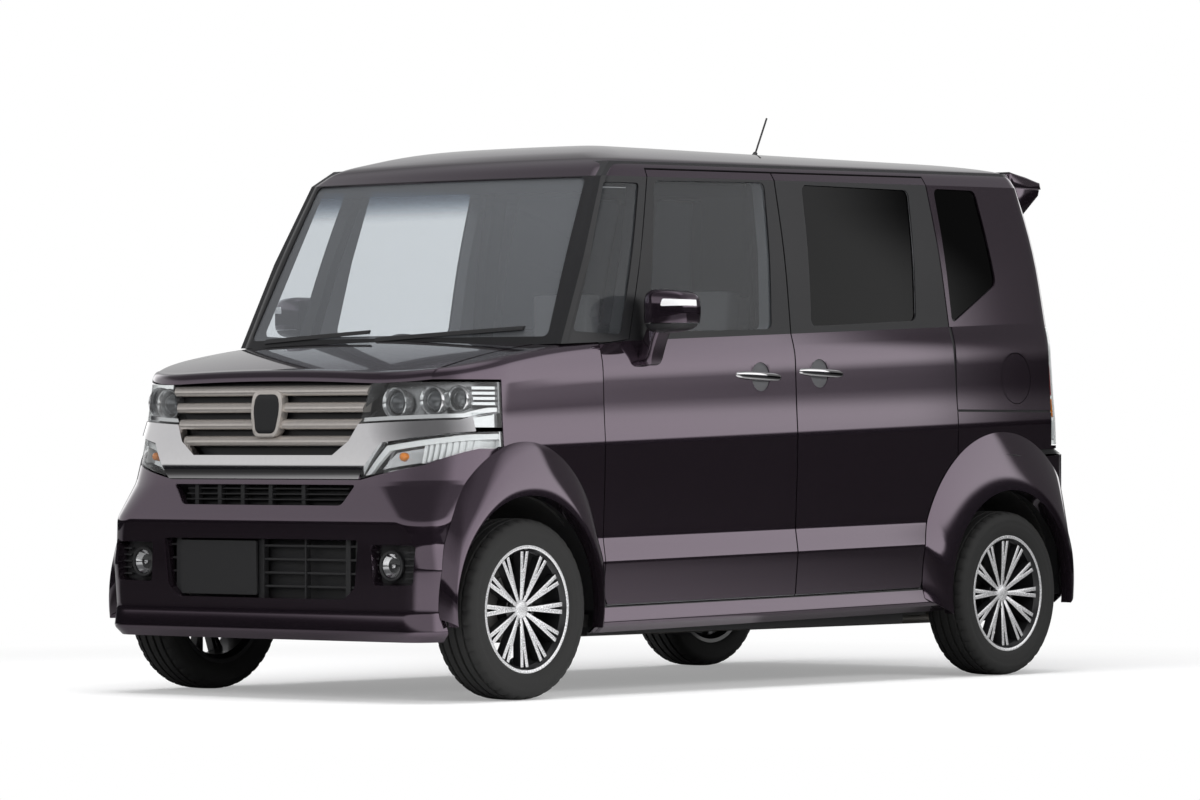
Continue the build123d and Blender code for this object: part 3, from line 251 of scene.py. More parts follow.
CREASE_MID = (0.822, 0.032, 0.733, 1.6655, 1.6475, 0.300, 0.118, 0.010)
FLANK = (0.915, 0.035, 0.7275, 1.6585, 1.6410, 0.310, 0.118, 0.040)
SHOULDER = (1.085, 0.040, 0.722, 1.6455, 1.6295, 0.330, 0.118, 0.030)
BELT = (1.149, 0.042, 0.704, 1.6395, 1.6255, 0.330, 0.112, 0.0)
LOWER = [SKIRT_LOW, SKIRT_EDGE, SILL_TOP, CREASE_LOW, CREASE_TOP, RIDGE, BUMPER_TOP, BUMPER_LEDGE,
         CREASE_MID, FLANK, SHOULDER, BELT]
GLASS_FOOT = (1.149, 0.042, 0.704, 1.122, 1.6255, 0.062, 0.112, 0.0)
GLASS_MID = (1.410, 0.029, 0.679, 0.985, 1.5905, 0.058, 0.104, 0.120)
GUTTER = (1.655, 0.017, 0.634, 0.850, 1.5325, 0.056, 0.096, 0.030)
ROOF_EDGE = (1.705, 0.017, 0.602, 0.776, 1.5125, 0.060, 0.080, 0.024)
UPPER = [GLASS_FOOT, GLASS_MID, GUTTER, ROOF_EDGE]


def mixed(one, other, share):
    """A level between two levels."""
    return tuple(a + (b - a) * share for a, b in zip(one, other))


def eased(rows, step=0.035):
    """The levels with each crease rounded over its ease, and wide gaps filled."""
    line = [rows[0]]
    for before, row, after in zip(rows, rows[1:], rows[2:]):
        start = mixed(row, before, min(0.48, row[7] / (row[0] - before[0])))
        end = mixed(row, after, min(0.48, row[7] / (after[0] - row[0])))
        for turn in range(EASE_STEPS + 1):
            share = turn / EASE_STEPS
            line.append(mixed(mixed(start, row, share), mixed(row, end, share), share))
    line.append(rows[-1])
    filled = [line[0]]
    for row in line[1:]:
        gap = row[0] - filled[-1][0]
        last, parts = filled[-1], max(1, round(gap / step))
        filled += [mixed(last, row, part / parts) for part in range(1, parts + 1)]
    return filled


def end_point(row, turn, end, bow, out):
    """A point of a level near one end: turn up to 1 is the face, to 2 the corner, then the side."""
    height, climb, half, nose, tail, nose_corner, tail_corner, _ = row
    reach, corner = (nose, nose_corner) if end > 0 else (tail, tail_corner)
    reach, half, corner = reach + out, half + out, max(corner + out, 0.004)
    side, turn = (-1 if turn < 0 else 1), abs(turn)
    lean = 0.0
    flank = half - (end * (reach - corner) - SIDE_MID) ** 2 / (2 * SIDE_BOW)
    for _ in range(3):
        edge = flank - corner * (1 - sin(lean))
        lean = atan(2 * bow * edge / half**2)
    centre_x = reach - bow * (edge / half) ** 2 - corner * cos(lean)
    centre_y = flank - corner
    if turn <= 1:
        x, y = reach - bow * (turn * edge / half) ** 2, turn * edge
    elif turn <= 2:
        angle = lean + (pi / 2 - lean) * (turn - 1)
        x, y = centre_x + corner * cos(angle), centre_y + corner * sin(angle)
    else:
        x = centre_x - (turn - 2)
        y = half - (end * x - SIDE_MID) ** 2 / (2 * SIDE_BOW)
    return Vector((end * x, side * y, height - climb * end * x))


def side_point(row, x, out):
    """A point of a level on the left side, given its place along the car."""
    height, climb, half, nose, tail, nose_corner, tail_corner, _ = row
    half = half + out
    y = half - (x - SIDE_MID) ** 2 / (2 * SIDE_BOW)
    for end, reach, corner, bow in ((1, nose, nose_corner, NOSE_BOW), (-1, tail, tail_corner, TAIL_BOW)):
        over = end * x - (reach + out - corner - bow * (1 - corner / half) ** 2)
        if over > 0:
            y -= corner - sqrt(max(corner**2 - over**2, 0.0))
    return Vector((x, y, height - climb * x))


def sheet(columns, rows, place, thick=SHEET, lid=9.0):
    """A thin sheet: a grid laid on the skin by place(across, row), closed above lid, given a thickness."""
    shape = bmesh.new()
    bmesh.ops.create_grid(shape, x_segments=columns, y_segments=len(rows) - 1, size=0.5)
    for vert in shape.verts:
        row = rows[round((vert.co.y + 0.5) * (len(rows) - 1))]
        vert.co = place(vert.co.x + 0.5, row)
    bmesh.ops.remove_doubles(shape, verts=shape.verts, dist=0.00001)
    rims = [edge for edge in shape.edges if edge.is_boundary and min(vert.co.z for vert in edge.verts) > lid]
    bmesh.ops.holes_fill(shape, edges=rims)
    bmesh.ops.recalc_face_normals(shape, faces=shape.faces)
    middle = sum((face.normal * face.calc_area() for face in shape.faces), Vector())
    centre = sum((vert.co for vert in shape.verts), Vector()) / len(shape.verts)
    if middle.dot(centre - Vector((0, 0, 0.75))) < 0:
        bmesh.ops.reverse_faces(shape, faces=shape.faces)
    bmesh.ops.solidify(shape, geom=list(shape.faces), thickness=thick)
    bmesh.ops.recalc_face_normals(shape, faces=shape.faces)
    return shape


def side_sheet(rows, front, rear, out=PROUD, thick=SHEET, step=0.022):
    """A sheet of the left side between two places along the car."""
    columns = round((front - rear) / step)
    return sheet(columns, rows, lambda across, row: side_point(row, front + (rear - front) * across, out), thick)


def end_sheet(rows, first, last, end, bow, out=PROUD, thick=SHEET, columns=120):
    """A sheet of the nose or the tail between two turns round it."""
    return sheet(columns, rows,
                 lambda across, row: end_point(row, first + (last - first) * across, end, bow, out), thick)


def both_ways(points):
    """A left-half outline closed with its mirror image."""
    return list(points) + [(-across, z) for across, z in reversed(points)]


def oblong(near, far, low, high):
    """A rectangle's outline."""
    return [(near, low), (far, low), (far, high), (near, high)]


def prism(points, axis, low, high, round_off=0.0):
    """A cutter drawn in side view (axis 1, points x z) or end view (axis 0, points y z)."""
    shape = bmesh.new()
    for across, z in points:
        shape.verts.new((across, low, z) if axis == 1 else (low, across, z))
    face = shape.faces.new(shape.verts)
    if round_off:
        bmesh.ops.bevel(shape, geom=list(face.verts), offset=round_off, segments=5, profile=0.5,
                        affect="VERTICES", material=-1)
    moved = bmesh.ops.extrude_face_region(shape, geom=list(shape.faces))
    stretch = (0, high - low, 0) if axis == 1 else (high - low, 0, 0)
    tops = [item for item in moved["geom"] if isinstance(item, bmesh.types.BMVert)]
    bmesh.ops.translate(shape, verts=tops, vec=stretch)
    bmesh.ops.recalc_face_normals(shape, faces=shape.faces)
    return shape


ACROSS = 1.2


def side_cut(points, round_off=0.0):
    """A side view cutter right across the car, so it cuts both sides alike."""
    return prism(points, 1, -ACROSS, ACROSS, round_off)


def end_cut(points, end, round_off=0.0, mirrored=True):
    """An end view cutter through the nose or the tail, drawn by its left half unless told otherwise."""
    low, high = (0.5, 2.0) if end > 0 else (-2.0, -1.2)
    return prism(both_ways(points) if mirrored else points, 0, low, high, round_off)


def drum(x, z, radius, low=-ACROSS, high=ACROSS):
    """A round cutter across the car."""
    shape = bmesh.new()
    bmesh.ops.create_cone(shape, cap_ends=True, segments=72, radius1=radius, radius2=radius, depth=high - low,
                          matrix=Matrix.Translation((x, (low + high) / 2, z)) @ Matrix.Rotation(pi / 2, 4, "X"))
    return shape


def settled(thing):
    """Keeps the mesh that a thing's modifiers make, in their place."""
    whole = bpy.data.meshes.new_from_object(thing.evaluated_get(bpy.context.evaluated_depsgraph_get()))
    thing.modifiers.clear()
    thing.data = whole
    return thing


def carved(name, shape, keep=(), drop=()):
    """An object cut from a sheet: it keeps what lies in every keep cutter and in no drop cutter."""
    thing = new_object(name, shape)
    cutters = []
    for operation, group in (("INTERSECT", keep), ("DIFFERENCE", drop)):
        for number, cutter in enumerate(group):
            tool = new_object(f"{name}_{operation}_{number}", cutter.copy())
            cut = thing.modifiers.new(tool.name, "BOOLEAN")
            cut.operation, cut.object, cut.solver = operation, tool, "MANIFOLD"
            cutters.append(tool)
    settled(thing)
    for tool in cutters:
        bpy.data.meshes.remove(tool.data)
    return thing


def dressed(thing, finish, body, slot, node=None, sharp=40.0):
    """Gives a finished piece its smooth shading, finish, body, slot and the node it stands for."""
    thing.data.materials.clear()
    thing.data.materials.append(finish)
    thing.data.shade_smooth()
    thing.data.set_sharp_from_angle(angle=radians(sharp))
    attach(thing, body)
    if node:
        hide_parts(node)
    return thing


def other_side(thing, name):
    """A copy of a left-hand piece for the right-hand side."""
    shape = bmesh.new()
    shape.from_mesh(thing.data)
    bmesh.ops.scale(shape, verts=shape.verts, vec=(1, -1, 1))
    bmesh.ops.reverse_faces(shape, faces=shape.faces)
    return new_object(name, shape)


def pair(name, shape, keep, drop, finish, body, slot, replaces=None):
    """A left-hand panel and its mirrored twin."""
    left = carved(name + "_left", shape, keep, drop)
    right = other_side(left, name + "_right")
    for thing, side in ((left, "left"), (right, "right")):
        carrier = f"{body}_{side}" if body.endswith("door") else body
        dressed(thing, finish, carrier, slot, f"{replaces}_{side}" if replaces else None)


def speckled(name, scale, low, high, rough, spread, relief=0.0, **values):
    """A finish whose tint and gloss vary over fine noise, which may also be raised a little."""
    finish, wire = new_finish(name)
    noise = speckle(wire, scale)
    if relief:
        values["normal"] = bumped(wire, noise, relief)
    return show(finish, wire, principled(
        wire, base_color=two_tone(wire, noise, low, high),
        roughness=rough + noise * spread if spread else rough, **values))


plum = speckled("plum_metallic", 1400.0, (0.062, 0.042, 0.060), (0.138, 0.100, 0.134), 0.05, 0.04,
                metallic=0.92, coat_weight=1.0, coat_roughness=0.02)
satin_black = speckled("satin_black", 700.0, (0.010, 0.010, 0.011), (0.020, 0.020, 0.021), 0.26, 0.10,
                       specular_ior_level=0.35)

lower = eased(LOWER)
door_rows = eased(LOWER[2:])
frame_rows = eased(UPPER[:3])
rail_rows = eased(UPPER[2:])

FRONT_DOOR = [(-0.075, 0.297), (0.862, 0.2836), (0.884, 0.3216), (0.884, 1.104), (0.738, 1.120),
              (0.560, 1.6684), (-0.075, 1.6793)]
FRONT_DOOR_GAP = [(-0.078, 0.291), (0.864, 0.2776), (0.888, 0.3205), (0.888, 1.1075), (0.741, 1.1235),
                  (0.563, 1.6744), (-0.078, 1.6853)]
SLIDE_DOOR = [(-0.081, 0.2971), (-0.081, 1.6793), (-0.912, 1.6943), (-0.952, 1.1893), (-0.968, 0.900),
              (-0.968, 0.740), (-0.760, 0.3094)]
SLIDE_DOOR_GAP = [(-0.078, 0.291), (-0.078, 1.6853), (-0.917, 1.7003), (-0.958, 1.1893), (-0.974, 0.900),
                  (-0.974, 0.738), (-0.765, 0.3034)]
FRONT_WINDOW = [(0.020, 1.1662), (0.646, 1.1479), (0.539, 1.6338), (-0.024, 1.6474)]
SLIDE_WINDOW = [(-0.190, 1.179), (-0.220, 1.6467), (-0.810, 1.6493), (-0.770, 1.2073)]
REAR_WINDOW = [(-0.976, 1.1993), (-0.956, 1.6593), (-1.200, 1.6613), (-1.256, 1.3413)]
CORNER_WINDOW = [(1.002, 1.1439), (0.776, 1.1379), (0.614, 1.624), (0.780, 1.622)]
SCREEN = [(0.6385, 1.128), (0.5755, 1.638)]
FRONT_WELL, REAR_WELL, WELL_RADIUS = (1.263, 0.288), (-1.260, 0.290), 0.345
REAR_FLARE, REAR_FLARE_RADIUS = (-1.235, 0.370), 0.463
front_well = drum(*FRONT_WELL, WELL_RADIUS)
flare_disc = drum(*REAR_FLARE, REAR_FLARE_RADIUS + 0.004)
rear_well = drum(*REAR_WELL, WELL_RADIUS)
front_door, front_door_gap = side_cut(FRONT_DOOR), side_cut(FRONT_DOOR_GAP)
slide_door, slide_door_gap = side_cut(SLIDE_DOOR), side_cut(SLIDE_DOOR_GAP)
front_window, slide_window = side_cut(FRONT_WINDOW, 0.024), side_cut(SLIDE_WINDOW, 0.024)
rear_window, corner_window = side_cut(REAR_WINDOW, 0.024), side_cut(CORNER_WINDOW, 0.014)
screen_cut = end_cut(SCREEN, 1, 0.020)

SCOOP = 0.047
front_scoop, slide_scoop = drum(0.105, 1.010, SCOOP), drum(-0.205, 1.024, SCOOP)
pair("front_door_skin", side_sheet(door_rows, 0.93, -0.12), [front_door], [front_scoop], plum, "front_door",
     "paint")
pair("front_door_frame", side_sheet(frame_rows, 0.93, -0.12), [front_door], [front_window],
     satin_black, "front_door", "black_trim")
pair("front_door_rail", side_sheet(rail_rows, 0.70, -0.12), [front_door], [], plum, "front_door", "paint")
pair("slide_door_skin", side_sheet(door_rows, -0.05, -1.0), [slide_door], [flare_disc, slide_scoop], plum,
     "body", "paint")
pair("slide_door_frame", side_sheet(frame_rows, -0.05, -1.0), [slide_door], [slide_window],
     satin_black, "body", "black_trim")
pair("slide_door_rail", side_sheet(rail_rows, -0.05, -1.0), [slide_door], [], plum, "body", "paint")
pair("sill_skin", side_sheet(eased(LOWER[:4]), 0.95, -0.95),
     [side_cut([(-0.95, 0.1), (0.95, 0.1), (0.95, 0.2763), (-0.95, 0.3037)])], [front_well, rear_well],
     plum, "body", "paint")
SEAM_FRONT, SEAM_REAR = 0.7350, 0.7645
quarter_zone = side_cut([(-0.972, SEAM_FRONT + 0.020), (-0.972, 1.3), (-1.75, 1.3),
                         (-1.75, SEAM_REAR + 0.020)])
slide_rail = side_cut([(-0.960, 0.9015), (-0.960, 0.9095), (-1.60, 0.9095), (-1.60, 0.9015)])
tail_lamp_gap = prism(oblong(0.612, 0.8, 0.788, 1.200), 0, -1.8, -1.5345)
gate_opening = prism(oblong(-0.612, 0.612, 0, 2), 0, -2, -1.3)
pair("quarter_skin", end_sheet(eased(LOWER[6:]), 0.95, 2.72, -1, TAIL_BOW, columns=110), [quarter_zone],
     [tail_lamp_gap, gate_opening, slide_door_gap, slide_rail], plum, "body", "paint")
# only the left quarter is opened for the fuel lid
FUEL_LID, LID_RADIUS, LID_HOLE, LID_DEPTH = (-1.324, 1.018), 0.0860, 0.0885, 0.3
quarter = bpy.data.objects["quarter_skin_left"]
shape = bmesh.new()
shape.from_mesh(quarter.data)
opened = carved("quarter_open", shape, [], [drum(*FUEL_LID, LID_HOLE, LID_DEPTH)])
opened.data.shade_smooth()
opened.data.set_sharp_from_angle(angle=radians(40))
quarter.data = opened.data
bpy.data.objects.remove(opened)
quarter.data.materials.clear()
quarter.data.materials.append(plum)
TAILGATE = [(0.600, 0.771), (0.606, 1.220), (0.562, 1.764)]
tailgate_gap = end_cut([(0.606, 0.5), (0.606, 0.771), (0.612, 1.220), (0.568, 1.764), (0.568, 1.9)], -1)
pair("quarter_pillar", end_sheet(frame_rows, 0.90, 2.72, -1, TAIL_BOW, columns=110), [],
     [slide_door_gap, rear_window, tailgate_gap], plum, "body", "paint")


# Front fenders: each runs from the door to the lamps and rolls over into the bonnet's
# curve. They are bolted on, and the arch is cut for the wheel.
BONNET_ROLL = 0.034
# the bonnet's height at its back, its fall and bend towards the nose, and its crown across
BONNET_BACK, BONNET_FALL, BONNET_BEND, BONNET_CROWN = 1.128, 0.15263, 0.14198, 0.0568
FENDER_REAR, FENDER_FRONT, FENDER_TOP_IN = 0.888, 1.56, 0.606
LAMP_REAR = 1.3565
LAMP_LOW, LAMP_TOP = 0.779, 0.986


def bonnet_z(x, y):
    """Height of the bonnet's surface."""
    back, middle = x - 1.02, x - 1.40
    return BONNET_BACK - BONNET_FALL * back - BONNET_BEND * back * middle - BONNET_CROWN * y * y + PROUD


def skin_y(rows, x, z, out):
    """Half width of the skin at a place along the car and a height."""
    low = side_point(rows[0], x, out)
    for row in rows[1:]:
        high = side_point(row, x, out)
        if z <= high.z:
            return low.y + (high.y - low.y) * max(0.0, (z - low.z) / (high.z - low.z))
        low = high
    return high.y


flank_rows = eased(LOWER[8:])
fender_rows = [("level", row) for row in eased(LOWER[:10])]
fender_rows += [("flank", step / 6) for step in range(1, 7)]
fender_rows += [("roll", step / 6 * pi / 2) for step in range(1, 7)]
fender_rows += [("top", step / 4) for step in range(1, 5)]


def fender_point(across, row):
    """A point of the fender: the side levels, then the flank, the roll and the top."""
    kind, value = row
    x = FENDER_REAR + (FENDER_FRONT - FENDER_REAR) * across
    if kind == "level":
        return side_point(value, x, PROUD)
    foot = side_point(FLANK, x, PROUD)
    crown = bonnet_z(x, foot.y - BONNET_ROLL)
    z = foot.z + (crown - BONNET_ROLL - foot.z) * (value if kind == "flank" else 1.0)
    y = skin_y(flank_rows, x, z, PROUD)
    if kind == "roll":
        y, z = y - BONNET_ROLL * (1 - cos(value)), z + BONNET_ROLL * sin(value)
    if kind == "top":
        start = y - BONNET_ROLL
        y = start + (min(FENDER_TOP_IN, start) - start) * value
        z = bonnet_z(x, y) - bonnet_z(x, start) + z + BONNET_ROLL
    return Vector((x, y, z))


bumper_zone = side_cut([(1.3685, 0.05), (1.3685, 0.640), (1.3825, 0.790), (2.2, 0.790), (2.2, 0.05)])
bumper_gap = side_cut([(1.3645, 0.05), (1.3645, 0.641), (1.3785, 0.793), (2.2, 0.793), (2.2, 0.05)])
lamp_gap = side_cut(oblong(LAMP_REAR, 2.0, LAMP_LOW, LAMP_TOP + 0.004))
pair("fender_skin", sheet(60, fender_rows, fender_point), [], [front_well, bumper_gap, lamp_gap], plum,
     "body", "paint", "fender")

# Bonnet: one pressed steel lid over the engine, hinged along its rear edge. Its front edge is
# rolled down over the grille and the lamps.
BONNET_HALF = 0.598
BONNET_LIP_ROLL = 0.035
lip_row = mixed(CREASE_MID, SHOULDER, 0.867)
lip_turn = 1.0
while end_point(lip_row, lip_turn, 1, NOSE_BOW, PROUD).y < BONNET_HALF:
    lip_turn += 0.002
bonnet_rows = [("sheet", step / 24) for step in range(25)]
bonnet_rows += [("lip", step / 6 * pi / 2) for step in range(1, 7)] + [("drop", 0.0)]


def bonnet_point(across, row):
    """A point of the bonnet: straight from its bowed rear edge to the rolled lip."""
    kind, value = row
    front = end_point(lip_row, lip_turn * (2 * across - 1), 1, NOSE_BOW, PROUD)
    back = Vector((1.150 - 0.058 * (front.y / BONNET_HALF) ** 2, front.y, 0))
    inward = (Vector((back.x, back.y, 0)) - Vector((front.x, front.y, 0))).normalized()
    edge = Vector((front.x, front.y, 0)) + inward * BONNET_LIP_ROLL
    if kind == "sheet":
        place = back + (edge - back) * value
        return Vector((place.x, place.y, bonnet_z(place.x, place.y)))
    crown = bonnet_z(edge.x, edge.y)
    if kind == "lip":
        place = edge - inward * BONNET_LIP_ROLL * sin(value)
        return Vector((place.x, place.y, crown - BONNET_LIP_ROLL * (1 - cos(value))))
    return Vector((front.x, front.y, min(LAMP_TOP + 0.003, crown - BONNET_LIP_ROLL - 0.001)))


bonnet_skin = carved("bonnet_skin", sheet(72, bonnet_rows, bonnet_point))
dressed(bonnet_skin, plum, "bonnet", "paint", "bonnet")

# Nose mouldings: the painted bumper, the bright band that runs under the grille and out
# between the lamps, and the openings cut in them. They clip to the front frame.
NOSE_TURN = 2.42
nose_rows = eased(LOWER[:11])
GARNISH = [(0.405, 0.684), (0.482, 0.795), (0.664, 0.826), (0.800, 0.845), (0.800, 0.886), (0.697, 0.884),
           (0.664, 0.866), (0.385, 0.853), (0.356, 0.800), (0.296, 0.757)]
CHIN = [(0.405, 0.681), (0.605, 0.726), (0.698, 0.777), (0.800, 0.777), (0.800, 0.100)]
INTAKE = [(0.388, 0.668), (0.338, 0.601)]
LOW_INTAKE = [(0.415, 0.498), (0.400, 0.350), (0.354, 0.312)]
FOG_BEZEL = [(0.464, 0.484), (0.641, 0.486), (0.633, 0.358), (0.472, 0.356)]
GRILLE = [(0.421, 0.983), (0.385, 0.853), (0.356, 0.800), (0.296, 0.757)]
HEAD_LAMP = [(0.424, 0.982), (0.389, 0.855), (0.664, 0.868), (0.697, 0.886), (0.800, 0.888), (0.800, 0.982)]
LOW_LAMP = [(0.407, 0.686), (0.483, 0.793), (0.664, 0.824), (0.800, 0.843), (0.800, 0.782), (0.697, 0.782),
            (0.604, 0.731)]
intake, low_intake = end_cut(INTAKE, 1, 0.012), end_cut(LOW_INTAKE, 1, 0.014)
fog_bezel = end_cut(FOG_BEZEL, 1, 0.014, mirrored=False)
fog_bezel_right = end_cut([(-y, z) for y, z in FOG_BEZEL], 1, 0.014, mirrored=False)
bumper_skin = carved("front_bumper_skin",
                     end_sheet(nose_rows, -NOSE_TURN, NOSE_TURN, 1, NOSE_BOW, columns=220),
                     [end_cut(CHIN, 1), bumper_zone],
                     [intake, low_intake, fog_bezel, fog_bezel_right, front_well])
dressed(bumper_skin, plum, "body", "paint", "front_bumper")

bright = speckled("bright_plating", 60.0, (0.78, 0.77, 0.78), (0.82, 0.81, 0.82), 0.06, 0.015, metallic=1.0)
GARNISH_REAR, GARNISH_FOOT, GARNISH_TALL, GARNISH_SWELL = 1.4665, 0.672, 0.205, 0.018
garnish_zone = side_cut([(GARNISH_REAR, 0.5), (GARNISH_REAR, 1.1), (2.0, 1.1), (2.0, 0.5)])


def garnish_point(across, row):
    """A point of the band, which swells out between its edges."""
    share = (row[0] - row[1] * row[3] - GARNISH_FOOT) / GARNISH_TALL
    swell = sin(pi * max(0.0, min(1.0, share)) ** 0.55)
    return end_point(row, -1.9 + 3.8 * across, 1, NOSE_BOW, 0.003 + GARNISH_SWELL * swell)


garnish = carved("garnish_band", sheet(200, eased(LOWER[5:11], 0.012), garnish_point, 0.034),
                 [end_cut(GARNISH, 1), garnish_zone], [])
dressed(garnish, bright, "body", "bright_trim", "garnish")


def fused(shapes):
    """One bmesh from several that don't touch."""
    whole = bmesh.new()
    for shape in shapes:
        part = bpy.data.meshes.new("part")
        shape.to_mesh(part)
        whole.from_mesh(part)
        bpy.data.meshes.remove(part)
        shape.free()
    return whole


def drawn_in(points, step):
    """An outline drawn in by one step all round."""
    shape = bmesh.new()
    face = shape.faces.new([shape.verts.new((across, z, 0)) for across, z in points])
    bmesh.ops.inset_region(shape, faces=[face], thickness=step, use_even_offset=True)
    return [(vert.co.x, vert.co.y) for vert in face.verts]


COLLAR = 0.012


def rim(name, points, finish, slot, depth, draft, twin=False):
    """A lining for an opening in the nose, drawn in towards its back."""
    mouth = prism(points, 0, 1.60, 1.702, 0.012)
    middle = sum((vert.co for vert in mouth.verts), Vector()) / len(mouth.verts)
    wide = max(abs(vert.co.y - middle.y) for vert in mouth.verts)
    tall = max(abs(vert.co.z - middle.z) for vert in mouth.verts)
    for vert in mouth.verts:
        if vert.co.x < 1.65:
            vert.co.y += (middle.y - vert.co.y) * draft * 2 / wide
            vert.co.z += (middle.z - vert.co.z) * draft * 2 / tall
    collar = prism(points, 0, 1.50, 1.75, 0.012)
    for vert in collar.verts:
        vert.co.y += (vert.co.y - middle.y) * COLLAR / wide
        vert.co.z += (vert.co.z - middle.z) * COLLAR / tall
    lining = end_sheet(nose_rows, -1.8, 1.8, 1, NOSE_BOW, out=PROUD - 0.0008, thick=depth, columns=180)
    if twin:
        pair(name, lining, [collar], [mouth], finish, "body", slot)
    else:
        dressed(carved(name, lining, [collar], [mouth]), finish, "body", slot)


rim("intake_rim", both_ways(INTAKE), plum, "paint", 0.020, 0.004)
rim("low_intake_rim", both_ways(LOW_INTAKE), plum, "paint", 0.030, 0.010)
rim("fog_rim", FOG_BEZEL, plum, "paint", 0.034, 0.010, twin=True)


# Grille: four rounded warm silver bars over a black backing, with a plain boss in the middle.
# The bars are plated plastic, moulded in one, and clip in behind the bonnet's lip.
def nose_face(y, z):
    """How far ahead the nose's middle lies at a place across and a height."""
    low = LOWER[0]
    for row in LOWER[1:]:
        foot, top = low[0] - low[1] * low[3], row[0] - row[1] * row[3]
        if z <= top or row is LOWER[-1]:
            level = mixed(low, row, (z - foot) / (top - foot))
            return level[3] - NOSE_BOW * (y / level[2]) ** 2
        low = row


def nose_rail(z, first, last, profile, lean=0.0, columns=40):
    """A bar across the nose: a closed profile of steps out and up, carried along at one height."""
    shape = bmesh.new()
    bmesh.ops.create_grid(shape, x_segments=columns, y_segments=len(profile), size=0.5)
    for vert in shape.verts:
        y = first + (last - first) * (vert.co.x + 0.5)
        out, up = profile[round((vert.co.y + 0.5) * len(profile)) % len(profile)]
        vert.co = Vector((nose_face(y, z) + out, y, z + up + lean * abs(y)))
    bmesh.ops.remove_doubles(shape, verts=shape.verts, dist=0.000001)
    bmesh.ops.holes_fill(shape, edges=[edge for edge in shape.edges if edge.is_boundary])
    bmesh.ops.recalc_face_normals(shape, faces=shape.faces)
    return shape


def softened(thing, width, segments=3, angle=40):
    """Rounds a piece's edges and keeps the result."""
    rounding = thing.modifiers.new("rounding", "BEVEL")
    rounding.width, rounding.segments, rounding.limit_method = width, segments, "ANGLE"
    rounding.angle_limit, rounding.harden_normals = radians(angle), False
    return settled(thing)


warm_silver = speckled("warm_silver", 90.0, (0.56, 0.52, 0.49), (0.66, 0.62, 0.58), 0.18, 0.06, metallic=0.65)
BAR_HEIGHTS = (0.957, 0.905, 0.853, 0.801)
BAR = [(-0.034, -0.015), (-0.008, -0.0165), (-0.001, -0.0145), (0.003, -0.009), (0.0035, -0.003),
       (0.000, 0.006), (-0.007, 0.0135), (-0.016, 0.0165), (-0.034, 0.0165)]
grille_cut = end_cut(GRILLE, 1)
bars = carved("grille_bars", fused([nose_rail(z, -0.45, 0.45, BAR) for z in BAR_HEIGHTS]), [grille_cut])
dressed(bars, warm_silver, "body", "grille_metal", "grille", 50.0)
BOSS = [(0.058, 0.958), (0.068, 0.900), (0.050, 0.812)]
BOSS_PANEL = [(0.046, 0.946), (0.055, 0.900), (0.040, 0.824)]
boss = carved("grille_boss", end_sheet(nose_rows, -0.3, 0.3, 1, NOSE_BOW, out=0.010, thick=0.030, columns=24),
              [end_cut(BOSS, 1, 0.024)])
dressed(softened(boss, 0.006, 4, 50), warm_silver, "body", "grille_metal", sharp=60.0)
boss_panel = carved("boss_panel",
                    end_sheet(nose_rows, -0.3, 0.3, 1, NOSE_BOW, out=0.0112, thick=0.010, columns=24),
                    [end_cut(BOSS_PANEL, 1, 0.018)])
dressed(softened(boss_panel, 0.003, 3, 50), satin_black, "body", "black_trim")
backing = carved("grille_backing", end_sheet(nose_rows, -1.2, 1.2, 1, NOSE_BOW, out=-0.034, thick=0.004),
                 [grille_cut])
dressed(backing, satin_black, "body", "black_trim")

# Head lamps: on each side an upper lamp with three bright rings and a slanted lower lamp under
# the band. Each is a silvered tub closed by a clear lens and screwed to the front frame.
lamp_rows = eased(LOWER[6:11])
LENS_REAR, TUB_REAR, RIBS_REAR = LAMP_REAR + 0.0035, LAMP_REAR + 0.0105, LAMP_REAR + 0.011
lamp_reach = side_cut([(LENS_REAR, 0.6), (LENS_REAR, 1.1), (2.0, 1.1), (2.0, 0.6)])
tub_reach = side_cut([(TUB_REAR, 0.6), (TUB_REAR, 1.1), (2.0, 1.1), (2.0, 0.6)])

lamp_silver = speckled("lamp_silver", 120.0, (0.80, 0.80, 0.81), (0.90, 0.90, 0.91), 0.05, 0.06, metallic=0.84)
lamp_dark = speckled("lamp_dark", 120.0, (0.40, 0.40, 0.41), (0.50, 0.50, 0.51), 0.20, 0.10, metallic=0.75)
frosted = speckled("frosted_strip", 200.0, (0.80, 0.81, 0.82), (0.90, 0.90, 0.90), 0.28, 0.1, coat_weight=0.6)


def pane(name, tint, band=None, painted_sheen=0.0, gloss=1.5):
    """A thin pane: it lets tinted light through, mirrors the room at a slant and may carry a painted sheen, a pale
    film on its front face.

    A band is a start and stop height and a tint, that the pane takes on between them.
    """
    finish, wire = new_finish(name)
    colour = (*tint, 1)
    if band:
        place = wire.node("ShaderNodeTexCoord", output="Object")
        height = wire.node("ShaderNodeSeparateXYZ", {0: place}, output=2)
        mask = wire.node("ShaderNodeMapRange", {0: height, 1: band[0], 2: band[1]},
                         interpolation_type="SMOOTHSTEP")
        colour = two_tone(wire, mask, tint, band[2])
    clear = wire.node("ShaderNodeBsdfTransparent", {"Color": colour})
    mirror = wire.node("ShaderNodeBsdfGlossy", {"Color": (1, 1, 1, 1), "Roughness": 0.0})
    back = wire.node("ShaderNodeNewGeometry", output="Backfacing")
    sheen_film = wire.node("ShaderNodeBsdfDiffuse", {"Color": (0.80, 0.84, 0.90, 1)})
    clear = wire.node("ShaderNodeMixShader", {0: (1.0 - back) * painted_sheen, 1: clear, 2: sheen_film})
    slant = wire.node("ShaderNodeFresnel", {"IOR": gloss}) * (1.0 - back)
    return show(finish, wire, wire.node("ShaderNodeMixShader", {0: slant, 1: clear, 2: mirror}))


